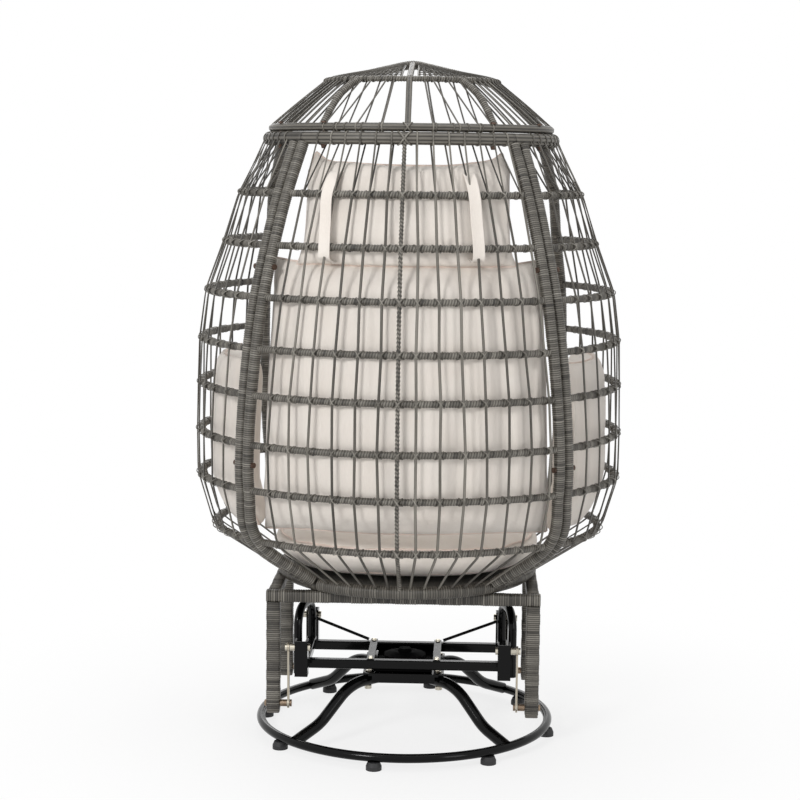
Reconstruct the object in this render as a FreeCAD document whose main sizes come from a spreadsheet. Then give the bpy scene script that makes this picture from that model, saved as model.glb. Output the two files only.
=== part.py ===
import FreeCAD, Part
import math
import os

import Sketcher
from FreeCAD import Placement, Rotation, Vector

# Outdoor wicker pod chair on a swivel glider base.
# Millimetres. +Z is up, the sitter looks along -Y, +X is the sitter's left.
# The origin is on the floor, on the swivel axis.

doc = FreeCAD.newDocument("PodChair")
sheet = doc.addObject("Spreadsheet::Sheet", "Sizes")

# Driving sizes of the steel base, the glider and the cushions
SIZES = [
    ("floor_radius", 318.0, "floor ring, centre line radius"),
    ("floor_tube", 9.5, "floor ring, tube radius"),
    ("floor_height", 26.0, "floor ring, centre line height"),
    ("foot_radius", 16.5, "rubber foot, radius at the floor"),
    ("foot_neck", 13.0, "rubber foot, radius under the ring"),
    ("foot_lip", 8.0, "rubber foot, height of its straight lip"),
    ("foot_turn", -9.4, "first foot, angle from +X in degrees"),
    ("leg_tube", 12.5, "base leg, tube radius"),
    ("leg_height", 125.0, "base leg, height of its level run"),
    ("leg_start", 30.0, "base leg, inner end from the axis"),
    ("leg_bend", 160.0, "base leg, corner of its upper bend from the axis"),
    ("leg_bend_low", 246.0, "base leg, corner of its lower bend from the axis"),
    ("leg_bend_height", 53.0, "base leg, height of its lower bend"),
    ("leg_bend_radius", 110.0, "base leg, radius of its bends"),
    ("weld_gap", 0.2, "clearance at coped and butted joints"),
    ("hub_length", 176.0, "lower swivel plate along X"),
    ("hub_width", 192.0, "lower swivel plate along Y"),
    ("hub_thick", 6.0, "lower swivel plate thickness"),
    ("hub_flange", 14.5, "lower swivel plate, depth of its folded edges"),
    ("hub_flange_half", 68.0, "folded edge, half length"),
    ("hub_bolt", 77.0, "hub bolts, X and Y from the axis"),
    ("hub_bolt_radius", 4.0, "hub bolts, shank radius"),
    ("hole_gap", 0.2, "radial clearance of a bolt in its hole"),
    ("pin_radius", 10.0, "swivel pin radius"),
    ("run_gap", 0.06, "radial clearance of a running fit"),
    ("washer_radius", 55.0, "thrust washer radius"),
    ("washer_thick", 4.0, "thrust washer thickness"),
    ("top_plate_half", 62.0, "upper swivel plate, half length along X"),
    ("top_plate_thick", 3.2, "upper swivel plate thickness"),
    ("cross_spread", 79.0, "cross tubes, Y from the axis"),
    ("cross_side", 20.0, "cross tubes, square side"),
    ("tube_corner", 3.0, "corner radius of the square tubes"),
    ("housing_radius", 46.0, "bearing housing radius"),
    ("rail_inner", 206.0, "side rails, inner face from the axis"),
    ("rail_width", 22.0, "side rails, width"),
    ("rail_half", 158.0, "side rails, half length"),
    ("strap_place", 72.0, "flat straps, X from the axis"),
    ("strap_width", 16.0, "flat straps, width"),
    ("strap_thick", 3.0, "flat straps, thickness"),
    ("strap_bolt_radius", 3.0, "strap bolts, shank radius"),
    ("bracket_wall", 2.8, "pivot bracket, sheet thickness"),
    ("bracket_depth", 30.0, "pivot bracket, depth along Y"),
    ("bracket_top", 228.0, "pivot bracket, top height"),
    ("pivot_spread", 150.0, "link pivots, Y from the axis"),
    ("pivot_high", 213.0, "upper link pivots, height"),
    ("pivot_low", 90.0, "lower link pivots, height"),
    ("pivot_radius", 5.0, "pivot bolts, shank radius"),
    ("link_place", 242.6, "links, inner face from the axis"),
    ("link_thick", 4.0, "links, thickness"),
    ("link_eye", 11.0, "links, radius of the eyes"),
    ("link_waist", 16.0, "links, width between the eyes"),
    ("bush_wall", 1.8, "link bushes, wall"),
    ("bush_overhang", 0.9, "link bushes, how far they stand proud"),
    ("play", 0.25, "side play of the links"),
    ("hoop_tube", 9.5, "carriage hoops, tube radius"),
    ("hoop_foot_x", 216.0, "carriage hoops, front leg from the axis"),
    ("hoop_foot_y", -110.0, "carriage hoops, front leg along Y"),
    ("hoop_out_y", 2.0, "carriage hoops, outer leg along Y"),
    ("hoop_gap", 43.0, "carriage hoops, crown below the glider bars"),
    ("hoop_turn", 40.0, "carriage hoops, bend radius"),
    ("hoop_bottom", 116.0, "carriage hoops, lower end of the outer leg"),
    ("brace_radius", 3.4, "brace rods, radius"),
    ("brace_high", 214.0, "brace rods, upper end height"),
    ("brace_low_x", 84.0, "brace rods, lower end from the axis"),
    ("post_place", 277.0, "glider posts, centre from the axis"),
    ("post_side", 30.0, "glider posts, square side"),
    ("post_bottom", 76.0, "glider posts, lower end"),
    ("post_corner", 6.0, "glider posts, corner radius"),
    ("bar_tall", 25.0, "glider bars, height and width"),
    ("cap_thick", 5.0, "post end caps, thickness"),
    ("seat_ring_height", 352.0, "seat ring, centre line height"),
    ("seat_ring_tube", 14.0, "seat ring, tube radius"),
    ("seat_ring_nose", 62.0, "seat ring, how far its front arc bulges"),
    ("deck_thick", 8.0, "woven seat deck, thickness"),
    ("deck_bar_radius", 6.0, "deck bars, radius"),
    ("deck_bar_front", -120.0, "front deck bar along Y"),
    ("deck_bar_rear", 80.0, "rear deck bar along Y"),
    ("edge_tube", 12.0, "panel edge tubes, radius"),
    ("pair_gap", 0.5, "clearance between paired edge tubes"),
    ("ring_tube", 7.0, "wicker rings, radius"),
    ("strand_side", 5.4, "wicker strands, side"),
    ("spine_radius", 4.8, "twisted spine, radius"),
    ("weave_gap", 0.3, "clearance of strands over the rings"),
    ("spine_share", 0.488, "spine, share of the back from the left"),
    ("strand_first", 0.055, "first back strand from the spine"),
    ("strand_step", 0.0688, "step of the back strands"),
    ("top_tube", 13.5, "top tube of the panels, radius"),
    ("egg_middle", -50.0, "widest plane of the egg along Y"),
    ("rim_tube", 9.0, "cap rim, radius"),
    ("rim_inset", 6.0, "cap rim, inset from the top tube"),
    ("hoop_ring_radius", 187.0, "cap middle ring, centre line radius"),
    ("hoop_ring_y", -87.0, "cap middle ring, centre along Y"),
    ("hoop_ring_rise", 101.8, "cap middle ring, height above the rim"),
    ("hoop_ring_tube", 6.0, "cap middle ring, tube radius"),
    ("arch_tube", 10.0, "cap front arch, tube radius"),
    ("arch_rise", 41.0, "cap front arch, height of its crown above the middle ring"),
    ("arch_top_y", -112.0, "cap front arch, crown along Y"),
    ("rib_tube", 7.5, "cap ribs, radius"),
    ("spine_rib", 7.0, "cap centre rib, radius"),
    ("soft_gap", 0.3, "clearance between cushions and what carries them"),
    ("seat_thick", 112.0, "seat cushion thickness"),
    ("seat_half", 300.0, "seat cushion half width"),
    ("seat_rear", 226.0, "seat cushion rear edge along Y"),
    ("seat_front", -318.0, "seat cushion front edge along Y"),
    ("back_top", 1036.0, "back cushion, top height"),
    ("back_thick", 118.0, "back cushion thickness"),
    ("pillow_top", 1246.0, "head pillow, top height"),
    ("pillow_thick", 96.0, "head pillow thickness"),
    ("arm_top", 832.0, "arm cushions, top height"),
    ("arm_thick", 92.0, "arm cushions, thickness"),
    ("strap_band", 13.0, "pillow straps, half width"),
    ("strap_cloth", 1.2, "pillow straps, half thickness"),
]

# Outline of the egg at each level, from the top tube down to the seat ring, which gives the last height:
# height, half width, rear depth, half width and depth of the front tube, half width of the back panel
LEVELS = [
    ("top", 1294.5, 307.0, 190.0, 288.0, -150.0, 216.0),
    ("one", 1180.0, 365.0, 250.0, 318.0, -232.0, 248.0),
    ("two", 1074.0, 399.0, 303.0, 330.0, -286.0, 271.0),
    ("three", 968.5, 438.0, 336.0, 344.0, -322.0, 290.0),
    ("four", 863.5, 452.0, 350.0, 350.0, -350.0, 304.0),
    ("five", 766.5, 455.0, 352.0, 350.0, -357.25, 314.0),
    ("six", 662.5, 457.0, 350.0, 348.0, -357.25, 321.0),
    ("seven", 565.0, 456.0, 337.0, 340.0, -350.0, 321.0),
    ("eight", 452.0, 422.0, 308.0, 316.0, -322.0, 303.0),
    ("seat", None, 273.0, 222.0, 196.0, -262.0, 177.0),
]
COLUMNS = ("height", "half", "rear", "front_half", "front", "joint")

row = 1
for alias, value, note in SIZES:
    sheet.set("A%d" % row, note)
    sheet.set("B%d" % row, str(value))
    sheet.setAlias("B%d" % row, alias)
    row += 1
for level in LEVELS:
    for column, value in zip(COLUMNS, level[1:]):
        if value is None:
            continue
        sheet.set("A%d" % row, "egg outline")
        sheet.set("B%d" % row, str(value))
        sheet.setAlias("B%d" % row, "egg_%s_%s" % (level[0], column))
        row += 1
doc.recompute()


def size(alias):
    return float(sheet.get(alias))


class Dim:
    """A length with its number and the expression that gives it."""

    def __init__(self, number, text):
        self.number = number
        self.text = text

    def join(self, other, sign, number):
        return Dim(number, "(%s %s %s)" % (self.text, sign, as_dim(other).text))

    def __add__(self, other):
        return self.join(other, "+", self.number + as_dim(other).number)

    def __sub__(self, other):
        return self.join(other, "-", self.number - as_dim(other).number)

    def __mul__(self, other):
        return self.join(other, "*", self.number * as_dim(other).number)

    def __truediv__(self, other):
        return self.join(other, "/", self.number / as_dim(other).number)

    def __neg__(self):
        return self * -1


def as_dim(value):
    return value if isinstance(value, Dim) else Dim(float(value), "(%s)" % float(value))


def cell(alias):
    return Dim(size(alias), "Sizes." + alias)


nodes = {}


def keep(item, name):
    item.Label = name
    nodes[name] = item
    return item


def tie(item, **values):
    for prop, value in values.items():
        value = as_dim(value)
        setattr(item, prop, value.number)
        item.setExpression(prop, value.text)
    return item


def put(item, x, y, z, rotation=None):
    place = [as_dim(value) for value in (x, y, z)]
    item.Placement = Placement(Vector(*[value.number for value in place]), rotation or Rotation())
    for axis, value in zip("xyz", place):
        item.setExpression("Placement.Base." + axis, value.text)
    return item


ALONG_X = Rotation(Vector(0, 1, 0), 90)
ALONG_MINUS_X = Rotation(Vector(0, 1, 0), -90)


def box(name, length, width, height, x, y, z):
    return put(tie(doc.addObject("Part::Box", name), Length=length, Width=width, Height=height), x, y, z)


def cylinder(name, radius, height, x, y, z, rotation=None):
    item = tie(doc.addObject("Part::Cylinder", name), Radius=radius, Height=height)
    return put(item, x, y, z, rotation)


def torus(name, radius, tube, z):
    return put(tie(doc.addObject("Part::Torus", name), Radius1=radius, Radius2=tube), 0, 0, z)


def cut(name, base, tools):
    for index, tool in enumerate(tools):
        last = index == len(tools) - 1
        item = doc.addObject("Part::Cut", name if last else "%s_cut_%d" % (name, index))
        item.Base = base
        item.Tool = tool
        base = item
    return base


def fuse(name, shapes):
    item = doc.addObject("Part::MultiFuse", name)
    item.Shapes = shapes
    return item


def rounded(name, source, axis, radius):
    doc.recompute()
    long_edges = []
    for index, edge in enumerate(source.Shape.Edges):
        run = edge.Vertexes[1].Point - edge.Vertexes[0].Point
        if abs(run.normalize().dot(axis)) > 0.99:
            long_edges.append((index + 1, radius, radius))
    item = doc.addObject("Part::Fillet", name)
    item.Base = source
    item.Edges = long_edges
    return item


def copies(name, source, placements):
    doc.recompute()
    shapes = []
    for placement in placements:
        shape = source.Shape.copy()
        shape.Placement = placement.multiply(shape.Placement)
        shapes.append(shape)
    item = doc.addObject("Part::Feature", name)
    item.Shape = Part.makeCompound(shapes)
    return keep(item, name)


def solid_node(name, shapes):
    item = doc.addObject("Part::Feature", name)
    item.Shape = shapes[0] if len(shapes) == 1 else Part.makeCompound(shapes)
    item.Placement = Placement()
    return keep(item, name)


def sketch_on(body, plane, name):
    item = body.newObject("Sketcher::SketchObject", name)
    support = next(one for one in body.Origin.OriginFeatures if one.Role == plane)
    item.AttachmentSupport = (support, [""])
    item.MapMode = "FlatFace"
    return item


def fix(sketch, kind, geometry, point, value):
    value = as_dim(value)
    number = sketch.addConstraint(Sketcher.Constraint(kind, -1, 1, geometry, point, value.number))
    sketch.setExpression("Constraints[%d]" % number, value.text)


def outline(sketch, corners):
    corners = [(as_dim(x), as_dim(y)) for x, y in corners]
    first = sketch.GeometryCount
    count = len(corners)
    ends = [Vector(x.number, y.number, 0) for x, y in corners]
    for index in range(count):
        sketch.addGeometry(Part.LineSegment(ends[index], ends[(index + 1) % count]), False)
    for index in range(count):
        after = first + (index + 1) % count
        sketch.addConstraint(Sketcher.Constraint("Coincident", first + index, 2, after, 1))
    for index, (x, y) in enumerate(corners):
        fix(sketch, "DistanceX", first + index, 1, x)
        fix(sketch, "DistanceY", first + index, 1, y)


def round_hole(sketch, x, y, radius):
    x, y, radius = as_dim(x), as_dim(y), as_dim(radius)
    centre = Vector(x.number, y.number, 0)
    index = sketch.addGeometry(Part.Circle(centre, Vector(0, 0, 1), radius.number), False)
    fix(sketch, "DistanceX", index, 3, x)
    fix(sketch, "DistanceY", index, 3, y)
    number = sketch.addConstraint(Sketcher.Constraint("Radius", index, radius.number))
    sketch.setExpression("Constraints[%d]" % number, radius.text)


def plate(name, corners, holes, thick, x, y, z):
    body = doc.addObject("PartDesign::Body", name)
    sketch = sketch_on(body, "XY_Plane", name + "_outline")
    outline(sketch, corners)
    for hole in holes:
        round_hole(sketch, *hole)
    pad = body.newObject("PartDesign::Pad", name + "_pad")
    pad.Profile = sketch
    tie(pad, Length=thick)
    return put(body, x, y, z)


def turned(name, profile, x, y, z, rotation=None):
    """A body of revolution from (radius, height) corners, turned about its own Z."""
    body = doc.addObject("PartDesign::Body", name)
    sketch = sketch_on(body, "XZ_Plane", name + "_profile")
    outline(sketch, profile)
    turn = body.newObject("PartDesign::Revolution", name + "_turn")
    turn.Profile = sketch
    turn.ReferenceAxis = (sketch, ["V_Axis"])
    turn.Angle = 360.0
    return put(body, x, y, z, rotation)


def swept(name, points, bend, radius):
    """A round tube along straight runs joined by one bend radius at each inner point."""
    edges = []
    start = points[0]
    for index in range(1, len(points) - 1):
        before = (points[index - 1] - points[index]).normalize()
        after = (points[index + 1] - points[index]).normalize()
        half = before.getAngle(after) / 2.0
        setback = bend / math.tan(half)
        centre_way = (before + after).normalize()
        centre = points[index] + centre_way * (bend / math.sin(half))
        enter = points[index] + before * setback
        leave = points[index] + after * setback
        middle = centre - centre_way * bend
        if (enter - start).Length > 0.01:
            edges.append(Part.makeLine(start, enter))
        edges.append(Part.Arc(enter, middle, leave).toShape())
        start = leave
    edges.append(Part.makeLine(start, points[-1]))
    path = doc.addObject("Part::Feature", name + "_path")
    path.Shape = Part.Wire(edges)
    section = tie(doc.addObject("Part::Circle", name + "_section"), Radius=radius)
    section.Placement = Placement(points[0], Rotation(Vector(0, 0, 1), points[1] - points[0]))
    item = doc.addObject("Part::Sweep", name)
    item.Sections = [section]
    item.Spine = (path, ["Edge%d" % (index + 1) for index in range(len(edges))])
    item.Solid = True
    item.Frenet = False
    return item


def turn_z(degrees):
    return Placement(Vector(), Rotation(Vector(0, 0, 1), degrees))


def shift(x, y, z, rotation=None):
    return Placement(Vector(x, y, z), rotation or Rotation())


# Floor ring, feet and legs
floor_torus = torus("FloorRing", cell("floor_radius"), cell("floor_tube"), cell("floor_height"))
floor_ring = keep(floor_torus, "floor_ring")
foot_top = cell("floor_height") - cell("floor_tube")
foot = turned(
    "Foot",
    [
        (0, 0), (cell("foot_radius"), 0), (cell("foot_radius"), cell("foot_lip")),
        (cell("foot_neck"), foot_top), (0, foot_top),
    ],
    cell("floor_radius"), 0, 0,
)
copies("floor_ring_feet", foot, [turn_z(size("foot_turn") + 45 * index) for index in range(8)])

leg_z = size("leg_height")
leg = swept(
    "Leg",
    [
        Vector(size("leg_start"), 0, leg_z),
        Vector(size("leg_bend"), 0, leg_z),
        Vector(size("leg_bend_low"), 0, size("leg_bend_height")),
        Vector(size("floor_radius") - 2, 0, size("floor_height") + 1),
    ],
    size("leg_bend_radius"),
    cell("leg_tube"),
)
cope = torus("LegCope", cell("floor_radius"), cell("floor_tube") + cell("weld_gap"), cell("floor_height"))
bolt_ray = cell("hub_bolt") * math.sqrt(2)
drill_r = cell("hub_bolt_radius") + cell("hole_gap")
drill_low = cell("leg_height") - cell("leg_tube") * 2
leg_drill = cylinder("LegDrill", drill_r, cell("leg_tube") * 4, bolt_ray, 0, drill_low)
coped_leg = cut("CopedLeg", leg, [cope, leg_drill])
copies("base_legs", coped_leg, [turn_z(45 + 90 * index) for index in range(4)])

# Lower swivel plate with folded edges, bolted down on the legs
hub_low = cell("leg_height") + cell("leg_tube")
hub_top = hub_low + cell("hub_thick")
half_x = cell("hub_length") / 2
half_y = cell("hub_width") / 2
bolt = cell("hub_bolt")
bolt_hole = cell("hub_bolt_radius") + cell("hole_gap")
chamfer = as_dim(12)
hub_corners = [
    (-half_x + chamfer, -half_y), (half_x - chamfer, -half_y),
    (half_x, -half_y + chamfer), (half_x, half_y - chamfer),
    (half_x - chamfer, half_y), (-half_x + chamfer, half_y),
    (-half_x, half_y - chamfer), (-half_x, -half_y + chamfer),
]
hub_holes = [(bolt * sx, bolt * sy, bolt_hole) for sx in (-1, 1) for sy in (-1, 1)]
hub_holes.append((0, 0, cell("pin_radius")))
hub_sheet = plate("HubSheet", hub_corners, hub_holes, cell("hub_thick"), 0, 0, hub_low)
flange_half = cell("hub_flange_half")
flange_wall = as_dim(4)
flanges = [
    box("HubFlangeRear", flange_half * 2, flange_wall, cell("hub_flange"), -flange_half, half_y - flange_wall,
        hub_low - cell("hub_flange")),
    box("HubFlangeFront", flange_half * 2, flange_wall, cell("hub_flange"), -flange_half, -half_y,
        hub_low - cell("hub_flange")),
]
keep(fuse("HubPlate", [hub_sheet] + flanges), "swivel_lower_plate")

# Bolts that clamp the plate on the legs: a low round head above, a nut below
bolt_r = cell("hub_bolt_radius")
grip = cell("hub_thick") + cell("leg_tube") * 2
nut_tall = as_dim(7)
head_tall = as_dim(2.6)
hub_bolt_body = turned(
    "HubBolt",
    [
        (0, -(grip + nut_tall)), (7.5, -(grip + nut_tall)), (7.5, -grip), (bolt_r, -grip),
        (bolt_r, 0), (8, 0), (5, head_tall), (0, head_tall),
    ],
    0, 0, hub_top,
)
bolt_at = size("hub_bolt")
copies("hub_bolts", hub_bolt_body, [shift(bolt_at * sx, bolt_at * sy, 0) for sx in (-1, 1) for sy in (-1, 1)])

# Swivel pin, thrust washer, upper plate and bearing housing
washer_top = hub_top + cell("washer_thick")
plate_top = washer_top + cell("top_plate_thick")
housing_top = plate_top + cell("cross_side")
pin_r = cell("pin_radius")
keep(turned(
    "SwivelPin",
    [
        (0, hub_low - 8), (17, hub_low - 8), (17, hub_low), (pin_r, hub_low), (pin_r, housing_top + 0.6),
        (16, housing_top + 0.6), (13, housing_top + 7), (0, housing_top + 7),
    ],
    0, 0, 0,
), "swivel_pin")
bore_r = pin_r + cell("run_gap")
keep(turned(
    "ThrustWasher",
    [
        (bore_r, hub_top), (cell("washer_radius"), hub_top),
        (cell("washer_radius"), washer_top), (bore_r, washer_top),
    ],
    0, 0, 0,
), "thrust_washer")
cross_y = cell("cross_spread")
cross_half = cell("cross_side") / 2
top_y = cross_y + cross_half
top_x = cell("top_plate_half")
keep(plate(
    "TopPlate",
    [(-top_x, -top_y), (top_x, -top_y), (top_x, top_y), (-top_x, top_y)],
    [(0, 0, bore_r)],
    cell("top_plate_thick"), 0, 0, washer_top,
), "swivel_upper_plate")
keep(turned(
    "BearingHousing",
    [
        (bore_r, plate_top), (cell("housing_radius"), plate_top), (cell("housing_radius"), housing_top - 6),
        (24, housing_top), (bore_r, housing_top),
    ],
    0, 0, 0,
), "bearing_housing")

# Carriage: two cross tubes, two side rails and two flat straps
cross_long = cell("rail_inner") * 2
strap_hole = cell("strap_bolt_radius") + cell("hole_gap")
cross_bars = []
for index, sign in enumerate((-1, 1)):
    bar = box("CrossBar%d" % index, cross_long, cell("cross_side"), cell("cross_side"), -cell("rail_inner"),
              cross_y * sign - cross_half, plate_top)
    bar = rounded("CrossTube%d" % index, bar, Vector(1, 0, 0), size("tube_corner"))
    drills = []
    for side in (-1, 1):
        drills.append(cylinder(
            "CrossDrill%d%d" % (index, side + 1), strap_hole, cell("cross_side") * 3,
            cell("strap_place") * side, cross_y * sign, plate_top - cell("cross_side"),
        ))
    cross_bars.append(cut("CrossTubeDrilled%d" % index, bar, drills))
for bar, name in zip(cross_bars, ("cross_tube_front", "cross_tube_rear")):
    keep(bar, name)

strap_half = cell("strap_width") / 2
strap = plate(
    "Strap",
    [(-strap_half, -top_y), (strap_half, -top_y), (strap_half, top_y), (-strap_half, top_y)],
    [(0, -cross_y, strap_hole), (0, cross_y, strap_hole)],
    cell("strap_thick"), 0, 0, housing_top,
)
copies("carriage_straps", strap, [shift(size("strap_place") * side, 0, 0) for side in (-1, 1)])
strap_grip = cell("strap_thick") + cell("cross_side")
strap_r = cell("strap_bolt_radius")
strap_bolt = turned(
    "StrapBolt",
    [
        (0, -strap_grip - 2.4), (5.5, -strap_grip - 2.4), (5.5, -strap_grip), (strap_r, -strap_grip),
        (strap_r, 0), (6, 0), (4.6, 4), (0, 4),
    ],
    0, 0, housing_top + cell("strap_thick"),
)
cross_at = size("cross_spread")
copies("strap_bolts", strap_bolt,
       [shift(size("strap_place") * sx, cross_at * sy, 0) for sx in (-1, 1) for sy in (-1, 1)])

rail_outer = cell("rail_inner") + cell("rail_width")
rail_bars = []
for side in (-1, 1):
    start_x = cell("rail_inner") if side > 0 else -rail_outer
    bar = box("RailBar%d" % (side + 1), cell("rail_width"), cell("rail_half") * 2, cell("cross_side"),
              start_x, -cell("rail_half"), plate_top)
    rail_bars.append(rounded("Rail%d" % (side + 1), bar, Vector(0, 1, 0), size("tube_corner")))
keep(rail_bars[0], "side_rail_right")
keep(rail_bars[1], "side_rail_left")

# Channel brackets on the rail ends carry the upper pivots
wall = cell("bracket_wall")
bracket_half = cell("rail_width") / 2 + wall
web_out = cell("rail_half") + wall
web_in = cell("rail_half")
ear_end = web_out - cell("bracket_depth")
inner_half = cell("rail_width") / 2
bracket_body = plate(
    "BracketSheet",
    [
        (-bracket_half, ear_end), (-inner_half, ear_end), (-inner_half, web_in), (inner_half, web_in),
        (inner_half, ear_end), (bracket_half, ear_end), (bracket_half, web_out), (-bracket_half, web_out),
    ],
    [],
    cell("bracket_top") - plate_top, 0, 0, plate_top,
)
ear_drill = cylinder("EarDrill", cell("pivot_radius") + cell("hole_gap"), 80, -40, cell("pivot_spread"),
                     cell("pivot_high"), ALONG_X)
bracket = cut("Bracket", bracket_body, [ear_drill])
rail_mid = size("rail_inner") + size("rail_width") / 2
bracket_spots = []
for side in (-1, 1):
    bracket_spots.append(shift(rail_mid * side, 0, 0))
    bracket_spots.append(shift(rail_mid * side, 0, 0, Rotation(Vector(0, 0, 1), 180)))
copies("pivot_brackets", bracket, bracket_spots)

# Upper pivot bolts: head inside the bracket, shoulder, then the link, then the nut
inner_ear = cell("rail_inner") - wall
outer_ear = rail_outer + wall
play = cell("play")
bush_in = cell("link_place") - cell("bush_overhang")
bush_out = cell("link_place") + cell("link_thick") + cell("bush_overhang")
pivot_r = cell("pivot_radius")
upper_bolt = turned(
    "UpperBolt",
    [
        (0, inner_ear - 5), (8, inner_ear - 5), (8, inner_ear), (pivot_r, inner_ear), (pivot_r, outer_ear),
        (7.5, outer_ear), (7.5, bush_in - play), (pivot_r, bush_in - play), (pivot_r, bush_out + play),
        (7.5, bush_out + play), (7.5, bush_out + 4.2), (0, bush_out + 4.2),
    ],
    0, 0, 0,
)
high = size("pivot_high")
spread = size("pivot_spread")
upper_spots = []
lower_spots = []
low = size("pivot_low")
for y in (-spread, spread):
    for way in (ALONG_X, ALONG_MINUS_X):
        upper_spots.append(shift(0, y, high, way))
        lower_spots.append(shift(0, y, low, way))
copies("upper_pivot_bolts", upper_bolt, upper_spots)

# Links with pressed bushes, a pair in front and a pair at the rear
link_long = cell("pivot_high") - cell("pivot_low")
eye_hole = cell("pivot_radius") + cell("run_gap") + cell("bush_wall")
thick = cell("link_thick")
link_parts = [
    cylinder("LinkEyeLow", cell("link_eye"), thick, cell("link_place"), 0, 0, ALONG_X),
    cylinder("LinkEyeHigh", cell("link_eye"), thick, cell("link_place"), 0, link_long, ALONG_X),
    box("LinkShank", thick, cell("link_waist"), link_long, cell("link_place"), -cell("link_waist") / 2, 0),
]
link_holes = [
    cylinder("LinkHoleLow", eye_hole, thick + 4, cell("link_place") - 2, 0, 0, ALONG_X),
    cylinder("LinkHoleHigh", eye_hole, thick + 4, cell("link_place") - 2, 0, link_long, ALONG_X),
]
link = cut("Link", fuse("LinkBlank", link_parts), link_holes)
bush = turned(
    "Bush",
    [
        (pivot_r + cell("run_gap"), bush_in), (eye_hole, bush_in), (eye_hole, bush_out),
        (pivot_r + cell("run_gap"), bush_out),
    ],
    0, 0, 0,
)
half_turn = Rotation(Vector(0, 0, 1), 180)
for place, y in (("front", -spread), ("rear", spread)):
    copies("%s_links" % place, link, [shift(0, y, low), shift(0, y, low, half_turn)])
    spots = [shift(0, y, level, way) for level in (low, high) for way in (ALONG_X, ALONG_MINUS_X)]
    copies("%s_link_bushes" % place, bush, spots)

# Bent hoops stand on the rails and reach down outside them
hoop_r = size("hoop_tube")
hoop_turn = size("hoop_turn")
bar_top = cell("seat_ring_height") - cell("seat_ring_tube") - cell("weld_gap")
bar_low = bar_top - cell("bar_tall")
hoop_top = bar_low.number - size("hoop_gap") - hoop_r
hoops = []
braces = []
for side in (-1, 1):
    outer_x = (rail_outer.number + hoop_r + size("weld_gap")) * side
    foot_x = size("hoop_foot_x") * side
    tag = "Left" if side > 0 else "Right"
    hoop = swept(
        "Hoop" + tag,
        [
            Vector(foot_x, size("hoop_foot_y"), housing_top.number + size("weld_gap")),
            Vector(foot_x, size("hoop_foot_y"), hoop_top),
            Vector(outer_x, size("hoop_out_y"), hoop_top),
            Vector(outer_x, size("hoop_out_y"), size("hoop_bottom")),
        ],
        hoop_turn,
        cell("hoop_tube"),
    )
    keep(hoop, "carriage_hoop_" + tag.lower())
    upper = Vector(foot_x - (hoop_r + 1.2) * side, size("hoop_foot_y"), size("brace_high"))
    lower = Vector(size("brace_low_x") * side, -cross_at - 2, housing_top.number + size("brace_radius") + 0.6)
    brace = Part.makeCylinder(size("brace_radius"), (lower - upper).Length, upper, lower - upper)
    braces.append(brace)
solid_node("brace_rods", braces)

# Glider frame that hangs on the links: four posts joined by four bars under the seat ring
post_half = cell("post_side") / 2
post_in = cell("post_place") - post_half
post_out = cell("post_place") + post_half
post_box = box("PostBox", cell("post_side"), cell("post_side"), bar_top - cell("post_bottom"), post_in,
               cell("pivot_spread") - post_half, cell("post_bottom"))
post_round = rounded("PostRound", post_box, Vector(0, 0, 1), size("post_corner"))
post_drill = cylinder("PostDrill", cell("pivot_radius") + cell("hole_gap"), 80, cell("post_place") - 40,
                      cell("pivot_spread"), cell("pivot_low"), ALONG_X)
post = cut("Post", post_round, [post_drill])
quarter = [
    Placement(), shift(0, 0, 0, half_turn),
    shift(0, -2 * spread, 0), shift(0, 2 * spread, 0, half_turn),
]
copies("glider_posts", post, quarter)
end_cap = box("EndCap", cell("post_side") - 3, cell("post_side") - 3, cell("cap_thick"), post_in + 1.5,
              cell("pivot_spread") - post_half + 1.5, cell("post_bottom") - cell("cap_thick"))
end_cap = rounded("EndCapRound", end_cap, Vector(0, 0, 1), size("post_corner") - 1.5)
copies("post_end_caps", end_cap, quarter)

bar_half = cell("bar_tall") / 2
for sign, name in ((-1, "glider_bar_front"), (1, "glider_bar_rear")):
    bar = box("Bar" + name, post_in * 2, cell("bar_tall"), cell("bar_tall"), -post_in,
              cell("pivot_spread") * sign - bar_half, bar_low)
    keep(rounded("Round" + name, bar, Vector(1, 0, 0), size("post_corner") - 1), name)
side_run = cell("pivot_spread") - post_half
for sign, name in ((-1, "glider_bar_right"), (1, "glider_bar_left")):
    bar = box("Bar" + name, cell("bar_tall"), side_run * 2, cell("bar_tall"),
              cell("post_place") * sign - bar_half, -side_run, bar_low)
    keep(rounded("Round" + name, bar, Vector(0, 1, 0), size("post_corner") - 1), name)

lower_bolt = turned(
    "LowerBolt",
    [
        (0, bush_in - 4.2), (7.5, bush_in - 4.2), (7.5, bush_in - play), (pivot_r, bush_in - play),
        (pivot_r, bush_out + play), (7.5, bush_out + play), (7.5, post_in), (pivot_r, post_in),
        (pivot_r, post_out), (8, post_out), (6, post_out + 4), (0, post_out + 4),
    ],
    0, 0, 0,
)
copies("lower_pivot_bolts", lower_bolt, lower_spots)


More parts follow.
